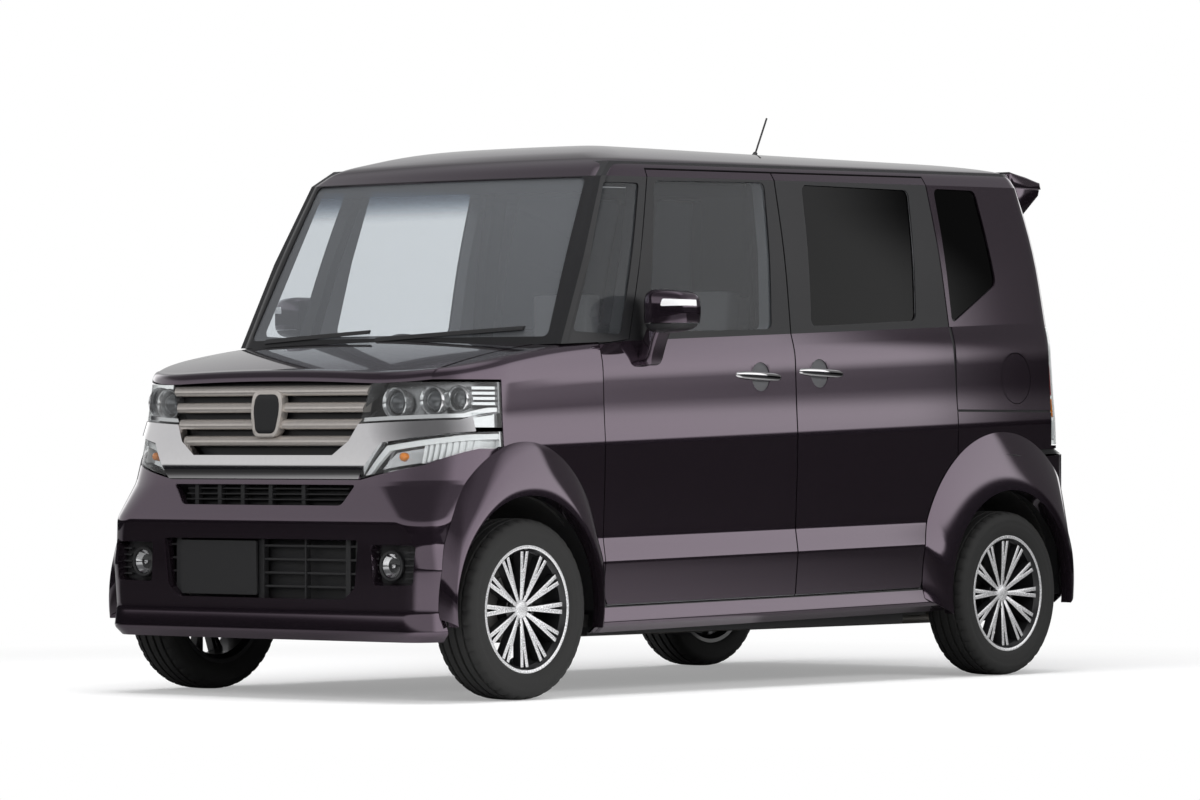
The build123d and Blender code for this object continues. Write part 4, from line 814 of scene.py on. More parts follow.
def lamp_sheet(out, thick):
    """A sheet of the nose over the left-hand lamps."""
    return end_sheet(lamp_rows, 0.5, 2.45, 1, NOSE_BOW, out=out, thick=thick, columns=80)


def lamp_part(name, out, thick, outlines, zones, finish, slot):
    """A pair of lamp pieces that follow the nose, cut to outlines in front view and zones in side view."""
    outline = fused([end_cut(points, 1, mirrored=False) for points in outlines])
    pair(name, lamp_sheet(out, thick), [outline, *zones], [], finish, "body", slot)


def lamp_tub(name, points, depth, finish):
    """An open tub behind a lens, with a wall all round."""
    hollow = carved(name + "_hollow", lamp_sheet(0.02, 0.02 + depth),
                    [end_cut(drawn_in(points, 0.003), 1, mirrored=False), tub_reach])
    cutter = bmesh.new()
    cutter.from_mesh(hollow.data)
    bpy.data.meshes.remove(hollow.data)
    pair(name, lamp_sheet(-0.003, depth + 0.002), [end_cut(points, 1, mirrored=False), lamp_reach], [cutter],
         finish, "body", "bright_trim")


def turned(profile, centre, axis, steps=48, closed=True):
    """A turned shape: steps along and out from an axis, spun all the way round."""
    shape = bmesh.new()
    spots = [shape.verts.new((along, radius, 0)) for along, radius in profile]
    ends = list(zip(spots, spots[1:])) + ([(spots[-1], spots[0])] if closed else [])
    edges = [shape.edges.new(ends_pair) for ends_pair in ends]
    bmesh.ops.spin(shape, geom=spots + edges, cent=(0, 0, 0), axis=(1, 0, 0), dvec=(0, 0, 0), angle=2 * pi,
                   steps=steps, use_merge=True)
    bmesh.ops.remove_doubles(shape, verts=shape.verts, dist=0.000001)
    bmesh.ops.recalc_face_normals(shape, faces=shape.faces)
    turn = Vector((1, 0, 0)).rotation_difference(Vector(axis)).to_matrix().to_4x4()
    bmesh.ops.transform(shape, matrix=Matrix.Translation(centre) @ turn, verts=shape.verts)
    return shape


LOW_LAMP_IN = drawn_in(LOW_LAMP, 0.002)
LENS_OUT, LENS_THICK = 0.0025, 0.003
lamp_clear = pane("lamp_clear", (0.93, 0.94, 0.94))
lamp_end = side_cut(oblong(LENS_REAR, 1.4645, 0.8425, 0.8885))
pair("lamp_end_lens", lamp_sheet(LENS_OUT, LENS_THICK), [lamp_end], [], lamp_clear, "body", "lamp_lens")
pair("lamp_end_tub", lamp_sheet(-0.016, 0.004), [lamp_end], [], lamp_silver, "body", "bright_trim")
lamp_part("head_lamp_lens", LENS_OUT, LENS_THICK, [HEAD_LAMP], [lamp_reach], lamp_clear, "lamp_lens")
lamp_part("low_lamp_lens", LENS_OUT, LENS_THICK, [LOW_LAMP_IN], [lamp_reach], lamp_clear, "lamp_lens")
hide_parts("head_lamps")
lamp_tub("head_lamp_tub", HEAD_LAMP, 0.078, lamp_dark)
lamp_tub("low_lamp_tub", LOW_LAMP_IN, 0.050, lamp_silver)
# place of each ring's front edge, and its size against the first
RINGS = [((1.606, 0.484, 0.917), 1.0), ((1.547, 0.583, 0.924), 0.96), ((1.484, 0.634, 0.930), 0.84)]
RING = [(-0.046, 0.040), (-0.006, 0.050), (0.000, 0.0495), (0.002, 0.047), (-0.001, 0.0435),
        (-0.012, 0.040), (-0.020, 0.036), (-0.046, 0.034)]
BALL = [(-0.030, 0.0355), (-0.020, 0.0335), (-0.011, 0.028), (-0.005, 0.019), (-0.002, 0.009),
        (-0.0015, 0.0)]
ball_glass = speckled("ball_glass", 30.0, (0.10, 0.105, 0.115), (0.22, 0.225, 0.235), 0.03, 0.03,
                      metallic=0.55, coat_weight=1.0, coat_roughness=0.0)
for name, profile, closed, finish, slot in (("lamp_rings", RING, True, lamp_silver, "bright_trim"),
                                            ("lamp_balls", BALL, False, ball_glass, "lamp_lens")):
    shapes = [turned([(along * scale, radius * scale) for along, radius in profile], place, (1, 0, 0), closed=closed)
              for place, scale in RINGS]
    pair(name, fused(shapes), [], [], finish, "body", slot)
# a silver brow under the rings, and the ribbed end by the fender
BROW = [(0.395, 0.860), (0.664, 0.873), (0.697, 0.891), (0.790, 0.893), (0.790, 0.905), (0.690, 0.903),
        (0.660, 0.885), (0.400, 0.872)]
lamp_part("lamp_brow", -0.006, 0.055, [BROW], [tub_reach], bright, "bright_trim")
END_RIBS = [oblong(0.60, 0.79, z, z + 0.009) for z in (0.911, 0.927, 0.943, 0.959)]
end_zone = side_cut([(RIBS_REAR, 0.6), (RIBS_REAR, 1.1), (1.452, 1.1), (1.452, 0.6)])
lamp_part("lamp_end_ribs", -0.010, 0.020, END_RIBS, [end_zone], lamp_silver, "bright_trim")
# a frosted strip along the lower lamp's top, upright slats at its outer end and the bulb's pocket
STRIP = [(0.416, 0.694), (0.488, 0.786), (0.664, 0.817), (0.760, 0.832), (0.760, 0.815), (0.664, 0.800),
         (0.499, 0.770), (0.440, 0.699)]
lamp_part("light_strip", -0.006, 0.014, [STRIP], [tub_reach], frosted, "lamp_lens")
SLAT_PLACES = (0.590, 0.602, 0.614, 0.626, 0.638, 0.649, 0.660, 0.670, 0.679)
SLATS = [oblong(y, y + 0.006, 0.735 + (y - 0.6) * 0.30, 0.79 + (y - 0.6) * 0.17) for y in SLAT_PLACES]
lamp_part("low_lamp_slats", -0.012, 0.022, SLATS, [tub_reach], frosted, "lamp_lens")
POCKET = [(0.462, 0.713), (0.506, 0.764), (0.580, 0.778), (0.580, 0.734)]
lamp_part("low_lamp_pocket", -0.030, 0.006, [POCKET], [], lamp_silver, "bright_trim")
amber = speckled("amber_bulb", 80.0, (0.85, 0.22, 0.02), (0.95, 0.34, 0.05), 0.10, 0.0, coat_weight=1.0)
BULB = [(0.0, 0.0120), (0.014, 0.0135), (0.021, 0.0115), (0.025, 0.0065), (0.026, 0.0)]
pair("amber_bulb", turned(BULB, (1.600, 0.530, 0.752), (1, 0, 0), 24, closed=False), [], [], amber, "body",
     "lamp_lens")

# Bumper inserts: black moulded backings, slats and bezels behind the openings, and the plain plate
# panel in the car's right half. All clip in from behind.
moulded_black = speckled("moulded_black", 1600.0, (0.012, 0.012, 0.013), (0.024, 0.024, 0.025), 0.42, 0.16, 0.0004)
SLAT = [(-0.030, -0.0035), (-0.001, -0.0035), (0.0, -0.002), (0.0, 0.002), (-0.001, 0.0035), (-0.030, 0.0035)]


def post(y, low, high, out, wide, deep=0.020):
    """An upright in an intake."""
    face = nose_face(y, (low + high) / 2) + out
    return prism(oblong(y - wide / 2, y + wide / 2, low, high), 0, face - deep, face)


def back_wall(name, points, out):
    """A wall at the back of an opening in the bumper."""
    wall = carved(name, end_sheet(nose_rows, -1.6, 1.6, 1, NOSE_BOW, out=out, thick=0.004, columns=100),
                  [end_cut(points, 1, 0.010)])
    dressed(wall, moulded_black, "body", "black_trim")


back_wall("intake_back", INTAKE, -0.048)
back_wall("low_intake_back", LOW_INTAKE, -0.055)
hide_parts("inserts")
SLAT_UPPER = [(out - 0.016, up * 0.7) for out, up in SLAT]
SLAT_LOWER = [(out - 0.022, up) for out, up in SLAT]
# place across and width of each upright
LOW_POSTS = [(-0.372, 0.022), (-0.012, 0.024), (0.175, 0.006), (0.352, 0.020), (0.388, 0.006)]
intake_bars = [nose_rail(z, -0.345, 0.345, SLAT_UPPER) for z in (0.619, 0.636, 0.653)]
intake_posts = [post(y, 0.604, 0.666, -0.014, 0.016) for y in (-0.30, -0.20, -0.10, 0.02, 0.16)]
low_bars = [nose_rail(z, -0.41, 0.41, SLAT_LOWER) for z in (0.350, 0.392, 0.434, 0.476)]
low_posts = [post(y, 0.312, 0.498, -0.020, wide) for y, wide in LOW_POSTS]
for name, shapes, opening in (("intake_slats", intake_bars, INTAKE), ("intake_posts", intake_posts, INTAKE),
                              ("low_intake_slats", low_bars, LOW_INTAKE),
                              ("low_intake_posts", low_posts, LOW_INTAKE)):
    dressed(carved(name, fused(shapes), [end_cut(opening, 1)]), moulded_black, "body", "black_trim")
PLATE = oblong(-0.351, -0.021, 0.322, 0.490)
plate = carved("plate_panel", end_sheet(nose_rows, -0.9, 0.2, 1, NOSE_BOW, out=-0.006, thick=0.008, columns=60),
               [prism(PLATE, 0, 1.5, 1.8, 0.006)])
dressed(plate, moulded_black, "body", "black_trim")

# Fog lamps: small round lamps at the bumper's corners, each a silvered bowl behind a domed glass.
# They sit in ribbed bezels of black plastic that clip into the bumper.
FOG_PLACE = (1.664, 0.530, 0.419)
FOG_RIBS = [oblong(near, far, z, z + 0.005) for z in (0.378, 0.398, 0.418, 0.438, 0.458)
            for near, far in ((0.585, 0.645), (0.458, 0.478))]
pair("fog_back", end_sheet(nose_rows, 0.5, 2.0, 1, NOSE_BOW, out=-0.032, thick=0.004, columns=60),
     [end_cut(FOG_BEZEL, 1, 0.010, mirrored=False)], [], moulded_black, "body", "black_trim")
pair("fog_ribs", end_sheet(nose_rows, 0.5, 2.0, 1, NOSE_BOW, out=-0.018, thick=0.016, columns=60),
     [fused([end_cut(rib, 1, mirrored=False) for rib in FOG_RIBS]), end_cut(FOG_BEZEL, 1, mirrored=False)], [],
     moulded_black, "body", "black_trim")
FOG_RING = [(-0.020, 0.040), (0.004, 0.049), (0.008, 0.048), (0.010, 0.045), (0.007, 0.0385), (-0.020, 0.0365)]
FOG_BOWL = [(0.004, 0.0365), (-0.004, 0.030), (-0.012, 0.020), (-0.016, 0.009), (-0.004, 0.008),
            (-0.001, 0.005), (0.0, 0.0)]
FOG_GLASS = [(0.004, 0.037), (0.009, 0.030), (0.012, 0.018), (0.0135, 0.0)]
for name, profile, closed, finish, slot in (("fog_rings", FOG_RING, True, moulded_black, "black_trim"),
                                            ("fog_bowls", FOG_BOWL, False, bright, "bright_trim"),
                                            ("fog_glass", FOG_GLASS, False, lamp_clear, "lamp_lens")):
    pair(name, turned(profile, FOG_PLACE, (1, 0, 0), closed=closed), [], [], finish, "body", slot)
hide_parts("fog_lamps")

# Roof: one crowned steel panel with the rails over the doors and the header over the screen,
# welded to the pillars. Its rings draw together along the middle line.
DOME_FOOT = (1.728, 0.012, 0.520, 0.690, 1.470, 0.100, 0.100, 0.0)
CROWN, CROWN_POWER = 1.7705, 3.2
NOSE_SHARE, TAIL_SHARE = 0.28, 0.78
roof_rows = [("level", row) for row in eased([GUTTER, ROOF_EDGE, DOME_FOOT], step=0.008)]
roof_rows += [("dome", 1 - step / 16) for step in range(1, 17)]


def roof_ring(row, across):
    """A point of a level's ring, from the tail's middle round the nose and back."""
    way = 2 * across - 1
    side, way = (-1 if way < 0 else 1), abs(way)
    nose_bow, tail_bow = SCREEN_BOW * row[2] / GUTTER[2], TAIL_BOW * row[2] / GUTTER[2]
    if way < NOSE_SHARE:
        return end_point(row, side * way / NOSE_SHARE * 2, 1, nose_bow, PROUD)
    if way > TAIL_SHARE:
        return end_point(row, side * (1 - way) / (1 - TAIL_SHARE) * 2, -1, tail_bow, PROUD)
    front, rear = end_point(row, 2, 1, nose_bow, PROUD), end_point(row, 2, -1, tail_bow, PROUD)
    x = front.x + (rear.x - front.x) * (way - NOSE_SHARE) / (TAIL_SHARE - NOSE_SHARE)
    half = row[2] + PROUD - (x - SIDE_MID) ** 2 / (2 * SIDE_BOW)
    return Vector((x, side * half, row[0] - row[1] * x))


def roof_point(across, row):
    """A point of the roof: its rings, then a crown that swells towards the middle line."""
    kind, value = row
    if kind == "level":
        return roof_ring(value, across)
    edge = roof_ring(DOME_FOOT, across)
    middle = Vector((max(min(edge.x, 0.15), -0.95), 0, 0))
    spot = middle + (Vector((edge.x, edge.y, 0)) - middle) * max(value, 0.01)
    spot.z = edge.z + (CROWN - edge.z) * (1 - value**CROWN_POWER)
    return spot


roof_shape = sheet(300, roof_rows, roof_point, lid=1.765)
HINGE_X = -1.4895
behind_hinge = prism(oblong(-1, 1, 1.2, 2), 0, -2, HINGE_X + 0.002)
roof_skin = carved("roof_skin", roof_shape, [], [front_door_gap, slide_door_gap, behind_hinge])
dressed(roof_skin, plum, "body", "paint")

# Windscreen surround: slim pillars and corner frames between bonnet and roof. They are pressed
# steel in satin black, welded to roof and body and cut open for the panes.
surround = carved("screen_surround", end_sheet(frame_rows, -2.66, 2.66, 1, SCREEN_BOW, columns=200), [],
                  [screen_cut, corner_window, front_door_gap])
dressed(surround, satin_black, "body", "black_trim")

# Tailgate: the whole rear door in one steel pressing with its window opening, hinged at the roof.
# A plated bar, a sunk plate recess and the rear wiper are fixed to it.
TAIL_GLASS = [(0.540, 1.258), (0.498, 1.670)]
BELT_SOFT = BELT[:7] + (0.020,)
gate_rows = eased([BUMPER_LEDGE, CREASE_MID, FLANK, SHOULDER, BELT_SOFT, GLASS_MID, GUTTER, ROOF_EDGE])
gate_zone = end_cut(TAILGATE, -1)
tail_glass_cut = end_cut(TAIL_GLASS, -1, 0.040)
gate_skin = carved("tailgate_skin", end_sheet(gate_rows, -1.6, 1.6, -1, TAIL_BOW, columns=140), [gate_zone],
                   [tail_glass_cut, end_cut([(0.205, 0.985), (0.190, 0.806)], -1, 0.020)])
dressed(gate_skin, plum, "tailgate", "paint")


def gate_strip(name, points, out, thick, finish, slot, body="tailgate", rows=gate_rows, round_off=0.006,
               soft=0.002):
    """A piece of trim that follows the tail."""
    strip = carved(name, end_sheet(rows, -1.9, 1.9, -1, TAIL_BOW, out=out, thick=thick, columns=150),
                   [prism(points, 0, -2.0, -1.2, round_off)])
    dressed(softened(strip, soft, 2, 50), finish, body, slot)


GATE_BAR = both_ways([(0.290, 1.000), (0.296, 1.034)])
WIPER_BLADE = [(-0.060, 1.292), (0.330, 1.283), (0.330, 1.291), (-0.060, 1.304)]
WIPER_ARM = [(-0.034, 1.228), (0.150, 1.289), (0.150, 1.297), (-0.040, 1.252)]
WIPER_BOSS = [(0.0, 0.024), (0.014, 0.022), (0.018, 0.014), (0.019, 0.0)]
gate_strip("gate_bar", GATE_BAR, 0.014, 0.020, bright, "bright_trim", soft=0.004)
gate_strip("rear_wiper_blade", WIPER_BLADE, 0.012, 0.012, moulded_black, "black_trim", round_off=0.002)
gate_strip("rear_wiper_arm", WIPER_ARM, 0.016, 0.010, moulded_black, "black_trim", round_off=0.003)
wiper_boss = turned(WIPER_BOSS, (-1.628, -0.020, 1.238), (-1, 0, 0), 32, closed=False)
dressed(carved("rear_wiper_boss", wiper_boss), moulded_black, "tailgate", "black_trim")

# Rear bumper: one painted moulding that wraps from arch to arch and clips to the body. A grained
# black valance closes its foot, and a dark strip behind the seam above is painted shade for its shadow line.
tail_lower = eased(LOWER[:8])
rear_bumper_zone = side_cut([(-1.255, 0.0), (-1.255, SEAM_FRONT), (-1.75, SEAM_REAR), (-1.75, 0.0)])
rear_bumper = carved("rear_bumper_skin", end_sheet(tail_lower, -2.6, 2.6, -1, TAIL_BOW, columns=200),
                     [rear_bumper_zone], [rear_well])
dressed(rear_bumper, plum, "body", "paint", "rear_bumper")
VALANCE = both_ways([(0.470, 0.190), (0.440, 0.318)])
# the dark strip behind the seam is painted shade, standing in for the gap's shadow line
SEAM_SHADOW_STRIP = both_ways([(0.660, 0.690), (0.660, 0.840)])
gate_strip("rear_valance", VALANCE, 0.0055, 0.010, moulded_black, "black_trim", "body", tail_lower, 0.020)
gate_strip("rear_seam_back", SEAM_SHADOW_STRIP, -0.012, 0.008, satin_black, "black_trim", "body", eased(LOWER[6:9]), 0.0,
           0.0005)

# Arch flares: raised rings pressed round the wheel openings and painted with the body. Each is
# crisp at its outer edge and rolled in at the arch.
FLARE_OUT, FLARE_PROUD = 0.7465, 0.0055
flare_rows = [0.0, 0.04, 0.10, 0.18, 0.28, 0.40, 0.52, 0.64, 0.76, 0.86, 0.94, 1.0, 1.06, 1.10]


def arch_flare(name, centre, wide, tall, well, start, stop, limit):
    """A flare between an oval and the wheel arch, from one angle to another."""
    def place(across, share):
        angle = start + (stop - start) * across
        outer = Vector((centre[0] + wide * cos(angle), centre[1] + tall * sin(angle)))
        inner = Vector((well[0] + WELL_RADIUS * cos(angle), well[1] + WELL_RADIUS * sin(angle)))
        spot = outer + (inner - outer) * min(share, 1.0)
        spot.x = max(min(spot.x, limit[1]), limit[0])
        base = skin_y(lower, spot.x, spot.y, FLARE_PROUD)
        edge = skin_y(lower, max(min(outer.x, limit[1]), limit[0]), outer.y, FLARE_PROUD)
        rise = sin(min(share, 1.0) * pi / 2) ** 0.9
        y = max(base, edge + (FLARE_OUT - edge) * rise) - max(0.0, share - 1.0) * 0.4
        if share > 1.0:
            spot = spot + (spot - Vector(well)).normalized() * -0.004
        return Vector((spot.x, y, spot.y))
    pair(name, sheet(72, flare_rows, place, 0.004), [], [], plum, "body", "paint")


arch_flare("front_flare", (1.259, 0.330), 0.370, 0.469, FRONT_WELL, radians(-9), radians(192), (0.889, 1.65))
arch_flare("rear_flare", REAR_FLARE, REAR_FLARE_RADIUS, REAR_FLARE_RADIUS, REAR_WELL, radians(-12), radians(188),
           (-1.66, 0.0))

# Arch liners: thin shells of moulded black plastic inside each wheel arch, which keep stones and
# water off the body. They clip to the arch's edge.
LINER_RADIUS, LINER_IN, LINER_OUT = 0.352, 0.395, 0.722


def arch_liner(name, well):
    """A pair of half-round shells over a wheel."""
    def place(across, y):
        angle = radians(-3 + 186 * across)
        return Vector((well[0] + LINER_RADIUS * cos(angle), y, well[1] + LINER_RADIUS * sin(angle)))
    depth = [LINER_IN + (LINER_OUT - LINER_IN) * step / 6 for step in range(7)]
    pair(name, sheet(60, depth, place, 0.003), [], [], moulded_black, "body", "black_trim")


arch_liner("front_liner", FRONT_WELL)
arch_liner("rear_liner", REAR_WELL)

# Glass: curved panes bonded just inside the skin. The screen and the front doors are clear, with
# a blue shade band along the screen's top, and the panes behind are smoked.
# the clear panes and the screen carry a painted sheen, a pale film that lightens them
clear_glass = pane("clear_glass", (0.84, 0.86, 0.87), painted_sheen=0.03, gloss=1.28)
screen_glass = pane("screen_glass", (0.90, 0.91, 0.92), (1.50, 1.62, (0.05, 0.10, 0.16)), painted_sheen=0.10)
smoked_glass = pane("smoked_glass", (0.07, 0.075, 0.08), gloss=1.22)
SUNK, PANE = -0.002, 0.004
screen = carved("windscreen_pane",
                end_sheet(frame_rows, -1.3, 1.3, 1, SCREEN_BOW, out=SUNK, thick=PANE, columns=100), [screen_cut])
dressed(screen, screen_glass, "body", "clear_glass", "windscreen")
pair("corner_pane", end_sheet(frame_rows, 0.9, 2.66, 1, SCREEN_BOW, out=SUNK, thick=PANE, columns=60),
     [corner_window], [], clear_glass, "body", "clear_glass")
pair("front_door_pane", side_sheet(frame_rows, 0.93, -0.12, SUNK, PANE), [front_window], [], clear_glass,
     "front_door", "clear_glass", "front_glass")
pair("slide_door_pane", side_sheet(frame_rows, -0.05, -1.0, SUNK, PANE), [slide_window], [], smoked_glass,
     "body", "dark_glass")
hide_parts("dark_glass")
pair("quarter_pane", side_sheet(frame_rows, -0.90, -1.35, SUNK, PANE), [rear_window], [], smoked_glass,
     "body", "dark_glass")
tail_pane = carved("tail_pane", end_sheet(gate_rows, -1.2, 1.2, -1, TAIL_BOW, out=SUNK, thick=PANE, columns=80),
                   [tail_glass_cut])
dressed(tail_pane, smoked_glass, "tailgate", "dark_glass", "tail_glass")

# Spoiler: a moulded wing with two side plates over the tailgate's glass, screwed to the gate,
# with a red stop light along its edge.
SPOILER = [(-1.4945, 1.7395), (-1.600, 1.7235), (-1.6765, 1.7065), (-1.6845, 1.6840), (-1.5475, 1.6720),
           (-1.4945, 1.6720)]
EAR = [(-1.5000, 1.6900), (-1.6735, 1.6880), (-1.6675, 1.6620), (-1.5595, 1.5800), (-1.5255, 1.5800)]
STOP_LIGHT = [(-1.676, 1.690), (-1.686, 1.690), (-1.684, 1.702), (-1.674, 1.702)]
wing = softened(carved("spoiler_wing", prism(SPOILER, 1, -0.562, 0.562, 0.010)), 0.008)
dressed(wing, plum, "tailgate", "paint")
for side, low, high in (("left", 0.514, 0.563), ("right", -0.563, -0.514)):
    ear = softened(carved(f"spoiler_ear_{side}", prism(EAR, 1, low, high, 0.010)), 0.006)
    dressed(ear, plum, "tailgate", "paint")
red_lens, wire = new_finish("red_lens")
place = wire.node("ShaderNodeTexCoord", output="Object")
ribs = wire.node("ShaderNodeTexWave", {"Vector": place, "Scale": 30.0, "Distortion": 0.0}, bands_direction="Z")
show(red_lens, wire, principled(
    wire, base_color=two_tone(wire, ribs, (0.30, 0.006, 0.008), (0.52, 0.015, 0.016)),
    roughness=0.08 + ribs * 0.06, coat_weight=1.0, coat_roughness=0.0))
stop = softened(carved("stop_light", prism(STOP_LIGHT, 1, -0.160, 0.160)), 0.0015, 2)
dressed(stop, red_lens, "tailgate", "tail_lens")

# Tail lamps: tall lamps at the corners beside the tailgate, each a silvered tub with light blocks
# behind one clear wrapped lens. They are screwed to the rear quarter.
tail_rows = eased(LOWER[7:])
tail_lamp_zone = prism(oblong(0.6155, 0.8, 0.7915, 1.1965), 0, -1.8, -1.5380, 0.012)


def tail_part(name, out, thick, zone, finish, slot):
    """A pair of lamp pieces that follow the tail's corner."""
    pair(name, end_sheet(tail_rows, 0.9, 2.3, -1, TAIL_BOW, out=out, thick=thick, columns=70), [zone], [], finish,
         "body", slot)


tail_part("tail_lamp_lens", 0.0045, 0.003, tail_lamp_zone, lamp_clear, "tail_lens")
tail_part("tail_lamp_tub", -0.020, 0.004, tail_lamp_zone, lamp_silver, "bright_trim")
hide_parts("tail_lamps")
TAIL_RIBS = [oblong(0.690, 0.79, low, low + 0.005) for low in [0.806 + 0.0155 * step for step in range(25)]]
tail_part("tail_lamp_ribs", -0.006, 0.012, fused([prism(rib, 0, -1.66, -1.5445) for rib in TAIL_RIBS]), frosted,
          "tail_lens")
# name, foot and top of each block, finish
for name, spans, finish in (("tail_lamp_reds", ((0.960, 1.066), (1.076, 1.186)), red_lens),
                            ("rear_indicator", ((0.885, 0.950),), amber),
                            ("reversing_light", ((0.806, 0.875),), frosted)):
    blocks = fused([prism(oblong(0.624, 0.684, *span), 0, -1.8, -1.3, 0.008) for span in spans])
    tail_part(name, -0.002, 0.015, blocks, finish, "tail_lens")

# Fuel lid: a round flap over the filler in the left rear quarter. It is pressed from the same
# painted sheet as the quarter and hinged inside it.
lid = carved("fuel_lid_skin", side_sheet(flank_rows, -1.18, -1.46, step=0.010),
             [drum(*FUEL_LID, LID_RADIUS, LID_DEPTH)])
dressed(lid, plum, "fuel_lid", "paint")

# Mirrors: a painted shell with a black base and foot on each front door, a clear side
# repeater let into its front, and a silvered glass in its back.
MIRROR_LOW, MIRROR_HIGH = Vector((0.588, 0.740, 1.140)), Vector((0.738, 0.889, 1.283))


def soft_block(low, high, power=4.0, cuts=14):
    """A block with full round edges: a cube's grid drawn onto a rounded form."""
    shape = bmesh.new()
    bmesh.ops.create_cube(shape, size=2.0)
    bmesh.ops.subdivide_edges(shape, edges=shape.edges, cuts=cuts, use_grid_fill=True)
    middle, half = (low + high) / 2, (high - low) / 2
    for vert in shape.verts:
        reach = sum(abs(value) ** power for value in vert.co) ** (1 / power)
        spot = vert.co / reach
        vert.co = Vector(centre + way * step for centre, way, step in zip(middle, spot, half))
    return shape


def mirror_shell(grow=0.0):
    """The mirror's form, which tapers to its outer end, grown or shrunk all round."""
    shape = soft_block(MIRROR_LOW - Vector((grow,) * 3), MIRROR_HIGH + Vector((grow,) * 3), 4.5)
    for vert in shape.verts:
        outer = max(0.0, vert.co.y - MIRROR_LOW.y) / (MIRROR_HIGH.y - MIRROR_LOW.y)
        vert.co.z += (0.016 if vert.co.z < 1.21 else -0.012) * outer**2
        vert.co.x -= 0.040 * max(0.0, outer)**2 * max(0.0, (vert.co.x - 0.62) / 0.118)
    return shape


BEYOND = 2.0
MIRROR_HOLE = [(0.756, 1.170), (0.870, 1.178), (0.870, 1.258), (0.756, 1.268)]
MIRROR_GLASS = [(0.758, 1.172), (0.868, 1.180), (0.868, 1.256), (0.758, 1.266)]
REPEATER = [(0.818, 1.226), (0.90, 1.228), (0.90, 1.246), (0.824, 1.250)]
above_seam = prism(oblong(0, BEYOND, 1.1735, BEYOND), 1, 0, BEYOND)
below_seam = prism(oblong(0, BEYOND, 1.0, 1.1715), 1, 0, BEYOND)
pair("mirror_shell", mirror_shell(), [above_seam], [prism(MIRROR_HOLE, 0, 0.5, 0.597, 0.018)], plum, "front_door",
     "paint", "mirror")
pair("mirror_base", mirror_shell(-0.0015), [below_seam], [], satin_black, "front_door", "black_trim")
pair("mirror_glass", prism(MIRROR_GLASS, 0, 0.5935, 0.5965, 0.017), [], [], bright, "front_door", "bright_trim")
pair("mirror_repeater", mirror_shell(0.0018), [prism(REPEATER, 0, 0.635, 0.80, 0.006)], [], frosted, "front_door",
     "lamp_lens")
foot = soft_block(Vector((0.640, 0.706, 1.040)), Vector((0.716, 0.760, 1.180)), 5.0)
for vert in foot.verts:
    rise = max(0.0, (vert.co.z - 1.040) / 0.140)
    vert.co.y += 0.036 * rise**1.6
    vert.co.x -= 0.018 * rise
pair("mirror_foot", foot, [], [], plum, "front_door", "paint")

# Door handles: plated grips that bow out over round scoops in the door skins. They are screwed
# through the skins from inside.
GRIP_HALF, GRIP_IN, GRIP_OUT, GRIP_TALL = 0.118, 0.7255, 0.7455, 0.0135
for name, middle_x, z, body in (("handle_front", 0.115, 1.012, "front_door"),
                                ("handle_slide", -0.215, 1.026, "body")):
    grip = soft_block(Vector((middle_x - GRIP_HALF, GRIP_IN, z - GRIP_TALL)),
                      Vector((middle_x + GRIP_HALF, GRIP_OUT, z + GRIP_TALL)), 3.2, 18)
    for vert in grip.verts:
        along = (vert.co.x - middle_x) / GRIP_HALF
        vert.co.y -= 0.011 * along**2
        vert.co.z += 0.004 * along
    pair(name + "_grip", grip, [], [], bright, body, "bright_trim", name)

# Wheels: cast alloy, twelve forked spokes with a turned bright face and black pockets, a bright
# rim ring, a plain cap and four nuts, in a low tyre with ribbed tread.
AXLE, AXLE_HEIGHT, WHEEL_OUT, BRIGHT_FROM = 1.260, 0.281, 0.6525, 0.184
RIM_LIP = [(0.0640, 0.1985), (0.0700, 0.2000), (0.0730, 0.1975), (0.0735, 0.1930), (0.0715, 0.1880),
           (0.0600, 0.1830), (0.0540, 0.1770), (0.0200, 0.1740), (-0.0500, 0.1700), (-0.0700, 0.1850),
           (-0.0715, 0.1990), (-0.0640, 0.1990), (-0.0600, 0.1890), (-0.0300, 0.1820), (0.0500, 0.1860),
           (0.0600, 0.1900)]
HUB = [(0.0400, 0.0), (0.0400, 0.0560), (0.0380, 0.0600), (0.0100, 0.0640), (0.0015, 0.0640), (0.0015, 0.0)]
CAP = [(0.0380, 0.0300), (0.0480, 0.0290), (0.0510, 0.0260), (0.0525, 0.0180), (0.0530, 0.0)]
SPOKE = [(0.0270, -0.0062), (0.0700, -0.0090), (0.1790, -0.0190), (0.1790, -0.0052), (0.1270, -0.0006),
         (0.1270, 0.0006), (0.1790, 0.0052), (0.1790, 0.0190), (0.0700, 0.0090), (0.0270, 0.0062)]
SPOKES, SPOKE_REACH = 12, 0.179
TREAD = [(0.0660, 0.1900), (0.0700, 0.1960), (0.0745, 0.2020), (0.0760, 0.2060), (0.0790, 0.2130),
         (0.0795, 0.2180), (0.0812, 0.2250), (0.0822, 0.2360), (0.0812, 0.2470), (0.0818, 0.2490),
         (0.0790, 0.2590), (0.0755, 0.2670), (0.0705, 0.2735), (0.0620, 0.2775), (0.0510, 0.2795),
         (0.0500, 0.2735), (0.0430, 0.2735), (0.0420, 0.2802), (0.0210, 0.2808), (0.0200, 0.2735),
         (0.0120, 0.2735), (0.0110, 0.2810)]
CAVITY = [(-0.0600, 0.2000), (-0.0650, 0.2600), (0.0650, 0.2600), (0.0600, 0.2000)]
TREAD_STEPS, TREAD_FROM, TREAD_SHOULDER, TREAD_CUT = 200, 0.2725, 0.045, 0.0045

